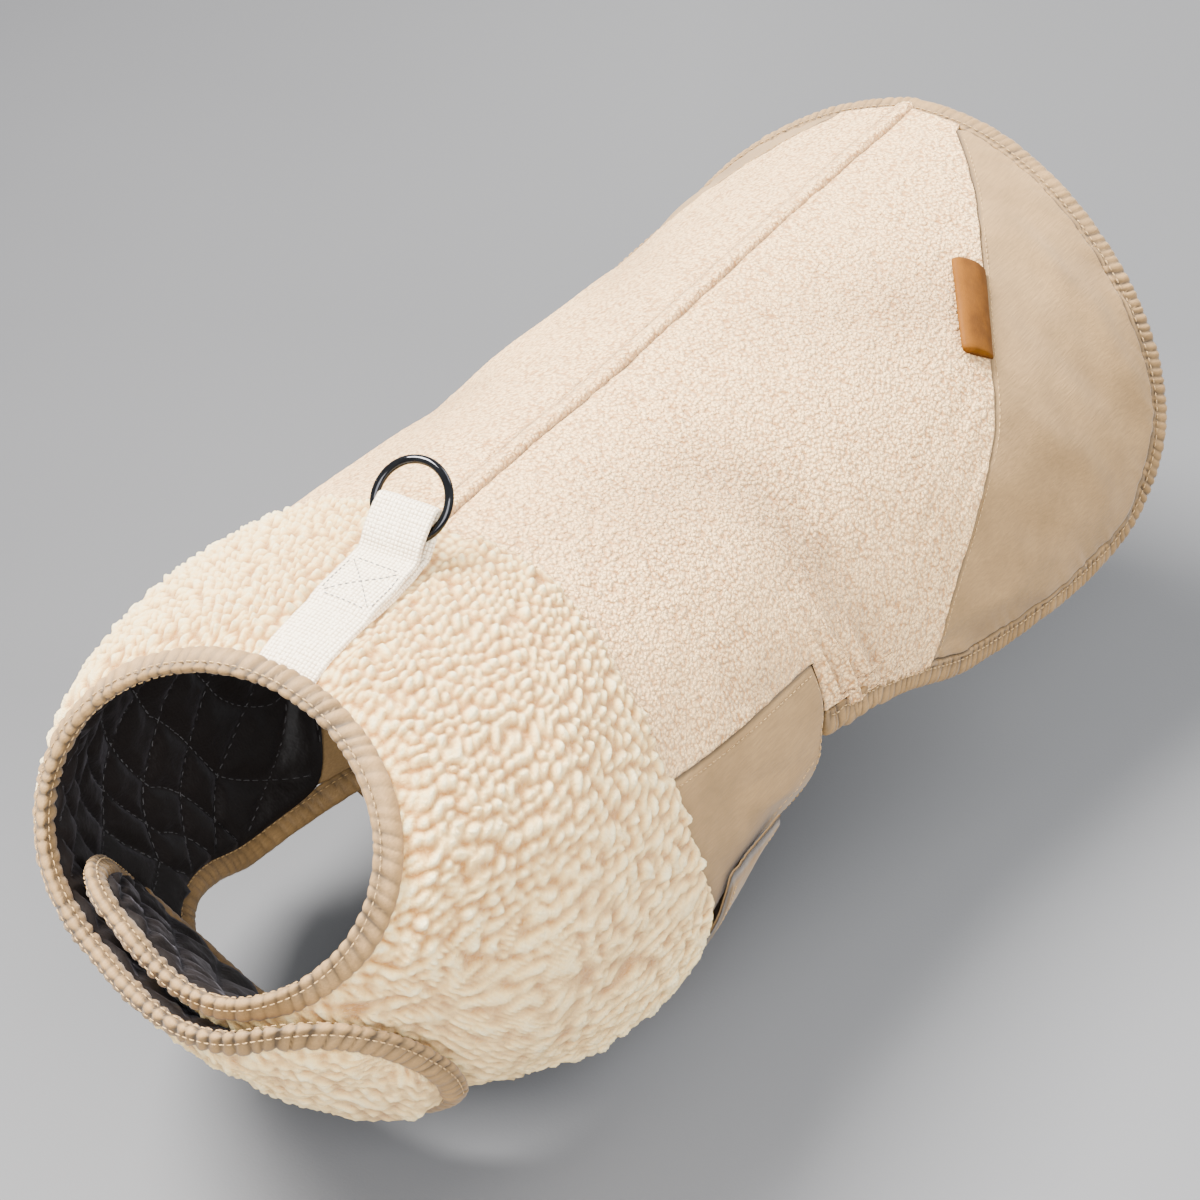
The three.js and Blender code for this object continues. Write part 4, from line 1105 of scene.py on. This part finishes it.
def binding(name, side_of, t, u, thick, offset, gather, spread, salt, tape):
    """side_of, t and u are dense places of the roll's middle, in order; gather sizes its folds.

    tape is the folded tape's width and length, handed to cut, which does not use it.
    """
    centre = np.empty((len(t), 3))
    normal = np.empty((len(t), 3))
    for side in SIDES:
        own = side_of == side
        centre[own] = sided(side, u[own], t[own], offset, spread)
        normal[own] = outward(u[own], side * t[own])
    centre, normal = resample(centre, normal, step=0.72)
    centre = calmed(centre, 7)
    normal = unit(calmed(normal, 7))
    heading = unit(np.gradient(centre, axis=0))
    across = unit(np.cross(heading, normal))
    normal = np.cross(across, heading)
    sides = 18
    angle = (np.arange(sides) + 0.5) / sides * 2 * math.pi
    w = BINDING_WIDTH / 2 * signed_power(np.cos(angle), 0.8)[None]
    h = signed_power(np.sin(angle), 0.85)[None]
    free = gather["free"]
    full = mix(0.66, 1.0, smooth(0.5 + free * w / BINDING_WIDTH))
    s = lengths(centre, 0)[:, None] + 0.3 * w + 0.5 * ripple(w / 3, 0 * w, salt + 8)
    crest, number = pleats(s / gather["pitch"] * (1 + 0 * w), salt)
    ebb = 0.5 + 0.5 * ripple(s / 34, 0 * s, salt + 4)
    strength = gather["pinch"] * mix(0.4, 1.0, ebb) * mix(0.25, 1.0, number)
    strength = np.minimum(strength * mix(1.0, 0.5, smooth(0.5 + free * w / BINDING_WIDTH)), 0.8)
    lively = (1 - strength * (1 - crest) + gather["soft"] * ripple(s / 6.5, w / 4, salt + 1)
              + gather["fine"] * ripple(s / 1.7, w / 6, salt + 2))
    groove = 1 - 0.3 * np.exp(-(w + free * BINDING_SEAM) ** 2)
    rise = thick * h * full * lively * groove
    bulge = 1 + 0.05 * ripple(s / 8, h * 2, salt + 3) - 0.16 * strength * (1 - crest)
    # Painted shade between the gathers' crests and in the groove along the seam.
    seam_and_fold_shade = np.clip(2.0 * strength * (1 - crest) ** 1.5 + 1.6 * (1 - groove), 0, 0.9) * (0 * h + 1)
    points = centre[:, None] + across[:, None] * (w * bulge)[..., None] + normal[:, None] * rise[..., None]
    obj = make_mesh(f"{name}_roll", points, ring_quads(len(centre), sides), BOUND,
                    facts={"seam_and_fold_shade": seam_and_fold_shade})
    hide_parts(name)
    cut(obj, *tape, held="folded")
    runs = []
    for face in (1, -1):
        lift = face * thick * 0.5
        runs.append((centre - across * (free * BINDING_SEAM) + normal * lift, normal * face))
    sew(f"{name}_stitches", runs, TAN_THREAD, "binding", pitch=2.9, length=2.0, radius=0.27, proud=0.2)


def joined(parts):
    """Side, turn and u of several (side, t, u) stretches in one line."""
    side_of = np.concatenate([np.full(len(t), side) for side, t, _ in parts])
    return side_of, np.concatenate([t for _, t, _ in parts]), np.concatenate([u for _, _, u in parts])


def neck_binding():
    half = BINDING_WIDTH / 2
    parts = {}
    for side in SIDES:
        turn = np.linspace(0, 180, 400, endpoint=False)
        flap_t, flap_u = flap_edge[side].inset(np.linspace(0, 0.4, 300), -half, side)
        parts[side] = (np.concatenate([turn, flap_t]),
                       np.concatenate([neck_line(side, turn, half), flap_u]))
    line = joined([(1, parts[1][0][::-1], parts[1][1][::-1]), (-1, *parts[-1])])
    gather = dict(pitch=4.8, soft=0.12, fine=0.07, pinch=1.05, free=1)
    binding("neck_binding", *line, 4.3, 1.6, gather, FLAP_SPREAD, 111, (14, 610))


def leg_binding(side):
    t, u = flap_edge[side].inset(np.linspace(0.408, 0.985, 400), -BINDING_WIDTH / 2, side)
    beyond = np.linspace(0, 1, 40)[1:]
    t = np.concatenate([t, t[-1] + (t[-1] - t[-21]) * beyond * 2])
    u = np.concatenate([u, u[-1] + (u[-1] - u[-21]) * beyond * 2])
    gather = dict(pitch=5.0, soft=0.08, fine=0.05, pinch=0.6, free=side)
    binding(f"leg_binding_{SIDES[side]}", np.full(len(t), side), t, u, 2.7, 0.2, gather, FLAP_SPREAD,
            121 + side, (12, 275))


def tail_binding():
    f = np.linspace(0, 0.998, 900)
    left_t, left_u = tail_edge.inset(f, BINDING_WIDTH / 2)
    right_t, right_u = tail_edge.inset(f, BINDING_WIDTH / 2, -1)
    raised = 1.3 * smooth((f - 0.95) / 0.05)
    line = joined([(1, (left_t - raised)[::-1], left_u[::-1]), (-1, right_t - raised, right_u)])
    gather = dict(pitch=3.7, soft=0.08, fine=0.05, pinch=1.0, free=1)
    binding("tail_binding", *line, 3.5, 0.9, gather, 0, 131, (13.5, 830))


# Webbing loop and lead ring

ring_lean = RING["lean"] * DEG


def ring_point(s, d):
    """Place in y and z: s runs down in the ring's plane, d along its normal."""
    return (RING["centre"][1] - s * math.sin(ring_lean) - d * math.cos(ring_lean),
            RING["centre"][2] - s * math.cos(ring_lean) + d * math.sin(ring_lean))


def smooth_line(points, step):
    """Dense points of a smooth line through points."""
    p = np.asarray(points, float)
    along = lengths(p, 0)
    s = np.linspace(0, along[-1], int(along[-1] / step))
    tangent = np.gradient(p, along, axis=0)
    k = np.clip(np.searchsorted(along, s) - 1, 0, len(p) - 2)
    h = (along[k + 1] - along[k])[:, None]
    f = ((s - along[k]) / h[:, 0])[:, None]
    return (p[k] * (2 * f ** 3 - 3 * f ** 2 + 1) + tangent[k] * h * (f ** 3 - 2 * f ** 2 + f)
            + p[k + 1] * (3 * f ** 2 - 2 * f ** 3) + tangent[k + 1] * h * (f ** 3 - f ** 2))


def above_spine(rows):
    """Places in y and z over the spine's seat, from (station, height) rows."""
    return [seat(u, 0)[1:] + outward(u, 0)[1:] * off for u, off in rows]


def webbing():
    base = SHERPA_PRESSED + 0.8 + WEBBING["thick"] / 2
    top = base + WEBBING["thick"] + GAP
    lower = above_spine([(-141, 1.4), (-136.5, 2.6), (-130, 3.9), (-122, 4.9), (-114, base), (-104, base),
                         (-96, base), (-88, base), (-80, base + 0.4)])
    turn = [f * math.pi for f in np.linspace(0, 1, 9)]
    fold = [ring_point(2.4 - 2 * math.sin(a), -2 * math.cos(a)) for a in turn]
    loop = [ring_point(17.5, -4.2), ring_point(14, -3.9), ring_point(8, -3.3), *fold,
            ring_point(8, 3.2), ring_point(14, 3.6), ring_point(20, 2.6)]
    upper = above_spine([(-87, top + 0.3), (-91, top), (-98, top), (-105, top - 0.3), (-109, top - 1.0),
                         (-113, base - 0.3)])
    line = smooth_line([*lower, *loop, *upper], 1.0)
    d = unit(np.gradient(line, axis=0))
    across = np.linspace(-0.5, 0.5, WEBBING_COLUMNS) * WEBBING["width"]
    edge_thin = 1 - 0.45 * smooth((np.abs(across) - WEBBING["width"] / 2 + 1.2) / 1.2)
    lane = np.concatenate([across, across[::-1]])
    face = np.concatenate([edge_thin, -edge_thin[::-1]]) * WEBBING["thick"] / 2
    s = lengths(line, 0)
    share = s / s[-1]
    on_back = np.maximum(1 - smooth((share - 0.4) / 0.08), smooth((share - 0.82) / 0.06))[:, None]
    skew = -2.6 * smooth((-96 - line[:, :1]) / 46)
    x = WEBBING["x"] + skew + lane[None] + 0.25 * ripple(s[:, None] / 9, 0 * lane[None], 141)
    back_radius = 78
    sag = (x ** 2) / (2 * back_radius) * on_back
    lift = 0.12 * ripple(s[:, None] / 6, lane[None] / 5, 142)
    y = line[:, :1] - d[:, 1:] * (face[None] + lift)
    z = line[:, 1:] + d[:, :1] * (face[None] + lift) - sag
    points = np.stack([x, y, z], -1)
    weave = 1.45
    uv = np.stack(np.broadcast_arrays(lane[None] / weave, s[:, None] / weave), -1)
    obj = make_mesh("back_webbing", points, ring_quads(len(line), len(lane)), COTTON, uv=uv)
    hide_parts("webbing")
    cut(obj, 24, 143, held="folded")
    outer = points[:, :WEBBING_COLUMNS - 1:-1]
    normal = np.stack([0 * s, d[:, 1], -d[:, 0]], -1)
    return outer, normal, s


def webbing_stitches(points, normal, s):
    """A stitched box with a cross below the loop."""
    end = s[-1]
    columns = np.linspace(-0.5, 0.5, WEBBING_COLUMNS) * WEBBING["width"]

    def at(from_end, x):
        k = np.interp(end - from_end, s, np.arange(len(s)))
        c = np.interp(x, columns, np.arange(WEBBING_COLUMNS))
        k0 = np.clip(np.floor(k).astype(int), 0, len(s) - 2)
        c0 = np.clip(np.floor(c).astype(int), 0, WEBBING_COLUMNS - 2)
        down = (k - k0)[:, None]
        near_lane, far_lane = (mix(points[k0, lane], points[k0 + 1, lane], down) for lane in (c0, c0 + 1))
        return mix(near_lane, far_lane, (c - c0)[:, None]), normal[k0]

    far, near, edge = 24.5, 5.0, 9.8
    box = [(far, -edge), (far, edge), (near, edge), (near, -edge), (far, -edge)]
    pairs = list(zip(box, box[1:])) + [((far, -edge), (near, edge)), ((far, edge), (near, -edge))]
    runs = []
    for (fa, xa), (fb, xb) in pairs:
        f = np.linspace(0, 1, 60)
        runs.append(at(mix(fa, fb, f), mix(xa, xb, f)))
    sew("webbing_stitches", runs, GREY_THREAD, "webbing", pitch=2.3, length=1.5, radius=0.22, proud=0.05)


def lead_ring():
    steps = 144
    sides = 20
    a = np.linspace(0, 2 * math.pi, steps, endpoint=False)[:, None]
    b = np.linspace(0, 2 * math.pi, sides, endpoint=False)[None]
    weld = np.exp(-((np.minimum(a, 2 * math.pi - a) * RING["radius"]) / 0.6) ** 2)
    wire = RING["wire"] / 2 * (1 + 0.035 * weld)
    r = RING["radius"] + wire * np.cos(b)
    s = r * np.cos(a)
    x = r * np.sin(a)
    d = wire * np.sin(b)
    points = np.stack([RING["centre"][0] + x, *ring_point(s, d)], -1)
    i, j = np.meshgrid(np.arange(steps), np.arange(sides), indexing="ij")
    ni = (i + 1) % steps
    nj = (j + 1) % sides
    quads = np.stack([i * sides + j, ni * sides + j, ni * sides + nj, i * sides + nj], -1).reshape(-1, 4)
    obj = make_mesh("lead_ring_round", points, quads[:, ::-1], METAL, body="ring")
    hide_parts("lead_ring")


# Leather tab

def leather_tab():
    seam_turn = table(CORNER_SEAM[::-1], "u", "t")
    loop = [(1.0, 0.1), (-4, 0.0), (-9, 0.0), (-12, 0.3), (-13.8, 1.0), (-14.5, 2.2), (-14.0, 3.4),
            (-12.4, 4.3), (-9.5, 4.7), (-6.5, 4.5), (-3.5, 3.8), (-1, 2.6), (1.0, 1.4)]
    dense = smooth_line(loop, 0.5)
    dense = dense[:len(dense) // 2 * 2]
    x, off = dense[None, :, 0], dense[None, :, 1]
    rings = 60
    u = np.linspace(TAB["front"], TAB["rear"], rings)[:, None]
    from_end = np.minimum(u - TAB["front"], TAB["rear"] - u)
    shrink = mix(0.9, 1, rounded(from_end + 0.05, 1.2))
    worn = 0.12 * ripple(u / 5, x / 4, 151)
    at = seam_turn(u)
    lead = (seam_turn(u + 1) - seam_turn(u - 1)) / 2
    t, u = moved(1, at + 0 * x, u + 0 * x, lead + 0 * x, 1 + 0 * x, x * shrink - TAB["set_back"])
    points = sided(1, u, t, FLEECE_OUT + GAP + off * shrink + worn)
    # Where the painted highlight of the tab's rounded fold lies.
    fold = smooth((-x - 9.5) / 3.4) + 0 * u
    obj = make_mesh("leather_tab", points, ring_quads(rings, x.size), LEATHER,
                    facts={"fold": fold})
    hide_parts("leather_tab")


# Hook-and-loop patches

def patch(name, side, turns, stations, low, spread, flat):
    high = low + TAPE_THICK
    t = np.linspace(*turns, 50)[:, None]
    u = np.linspace(*stations, 26)[None]
    top = sided(side, u, t, high, spread)
    inner = edge_distance(top)
    top = sided(side, u, t, mix(low, high, mix(0.4, 1, rounded(inner, 0.8))), spread)
    bottom = sided(side, u, t, low, spread)
    obj = make_mesh(f"{name}_pad", np.stack([top, bottom]), wall_quads(*inner.shape, side), TAPE)
    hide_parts(name)
    cut(obj, *flat, held="laid")


loop_face = SHERPA_PRESSED + GAP
hook_face = -4.1 - 1.6
strap_face = TWILL_OUT + GAP
strap_back = -1.7
PATCHES = [
    dict(name="chest_loop_tape", side=1, turns=(160, 205), stations=(-132, -110), low=loop_face,
         spread=FLAP_SPREAD, flat=(22, 100)),
    dict(name="chest_hook_tape", side=-1, turns=(160, 205), stations=(-132, -110), low=hook_face,
         spread=FLAP_SPREAD, flat=(22, 100)),
    dict(name="belly_loop_tape", side=1, turns=(160, 200), stations=(-4, 10), low=strap_face,
         spread=STRAP_SPREAD, flat=(14, 57)),
    dict(name="belly_hook_tape", side=-1, turns=(165, 205), stations=(-22, -6), low=strap_back,
         spread=STRAP_SPREAD, flat=(16, 95)),
]


# Floor, lights and camera

FLOOR_Z = -0.206
CAMERA = dict(target=(0, 0.062, -0.098), distance=1.25, azimuth=31, elevation=35.5, lens=97.5)


def studio():
    s = Shade("studio_floor", Roughness=0.85)
    part = s.node("ShaderNodeSeparateXYZ", {"Vector": s.place})
    # Painted light on the floor: lighter towards the front, darker towards the back.
    depth = s.math("MULTIPLY_ADD", part.outputs["X"], -0.55)
    s.tree.links.new(part.outputs["Y"], depth.node.inputs[2])
    base = s.blend(s.spread(depth, -0.35, 0.5), (0.130, 0.130, 0.1325), (0.078, 0.078, 0.080))
    # Painted shade: the floor darker towards its far left.
    leftward = s.math("MULTIPLY_ADD", part.outputs["Y"], -0.6)
    s.tree.links.new(s.math("MULTIPLY", part.outputs["X"], -1.0), leftward.node.inputs[2])
    corner = s.math("MULTIPLY", s.spread(leftward, -0.1, 0.4), s.spread(depth, -0.35, 0.15))
    base = s.blend(s.math("MULTIPLY", corner, 0.85), base, (0.03, 0.03, 0.032))
    s.colour(s.blend(s.spread(s.noise(2.0, 3.0), 0.3, 0.7, 0.0, 0.15), base, (0.10, 0.10, 0.1025)))
    s.bump((s.noise(900.0, 3.0), 0.3, 0.2))
    bpy.ops.mesh.primitive_plane_add(size=30, location=(0, 0, FLOOR_Z))
    floor = bpy.context.object
    floor.name = "studio_floor"
    floor.data.materials.append(s.material)
    world = bpy.data.worlds.new("studio_air")
    world.use_nodes = True
    air = world.node_tree.nodes["Background"].inputs
    air["Color"].default_value = (0.93, 0.96, 1.0, 1)
    air["Strength"].default_value = 1.45
    bpy.context.scene.world = world
    lamps = [
        dict(name="key", place=(-1.15, -0.35, 2.0), size=1.1, power=400, tint=(1.0, 0.985, 0.965)),
        dict(name="front", place=(1.3, -1.8, 1.4), size=1.8, power=160, tint=(0.97, 0.98, 1.0)),
        dict(name="rear", place=(0.9, 1.9, 1.8), size=1.4, power=80, tint=(1.0, 1.0, 1.0)),
    ]
    for lamp in lamps:
        light = bpy.data.lights.new(lamp["name"], "AREA")
        light.size = lamp["size"]
        light.energy = lamp["power"]
        light.color = lamp["tint"]
        obj = bpy.data.objects.new(lamp["name"], light)
        obj.location = lamp["place"]
        aim = Vector((0, 0.05, -0.1)) - obj.location
        obj.rotation_euler = aim.to_track_quat("-Z", "Y").to_euler()
        bpy.context.scene.collection.objects.link(obj)


def camera():
    a = CAMERA["azimuth"] * DEG
    e = CAMERA["elevation"] * DEG
    back = Vector((math.sin(a) * math.cos(e), -math.cos(a) * math.cos(e), math.sin(e)))
    data = bpy.data.cameras.new("photo_view")
    data.sensor_width = 36
    data.lens = CAMERA["lens"]
    obj = bpy.data.objects.new("photo_view", data)
    obj.location = Vector(CAMERA["target"]) + back * CAMERA["distance"]
    obj.rotation_euler = (-back).to_track_quat("-Z", "Y").to_euler()
    bpy.context.scene.collection.objects.link(obj)
    bpy.context.scene.camera = obj


camera()
studio()
for side in SIDES:
    fleece_back(side)
    corner_panel(side)
    yoke(side)
    belly_strap(side)
    lining(side)
    leg_binding(side)
centre_welt()
neck_binding()
tail_binding()
webbing_stitches(*webbing())
lead_ring()
leather_tab()
for row in PATCHES:
    patch(**row)
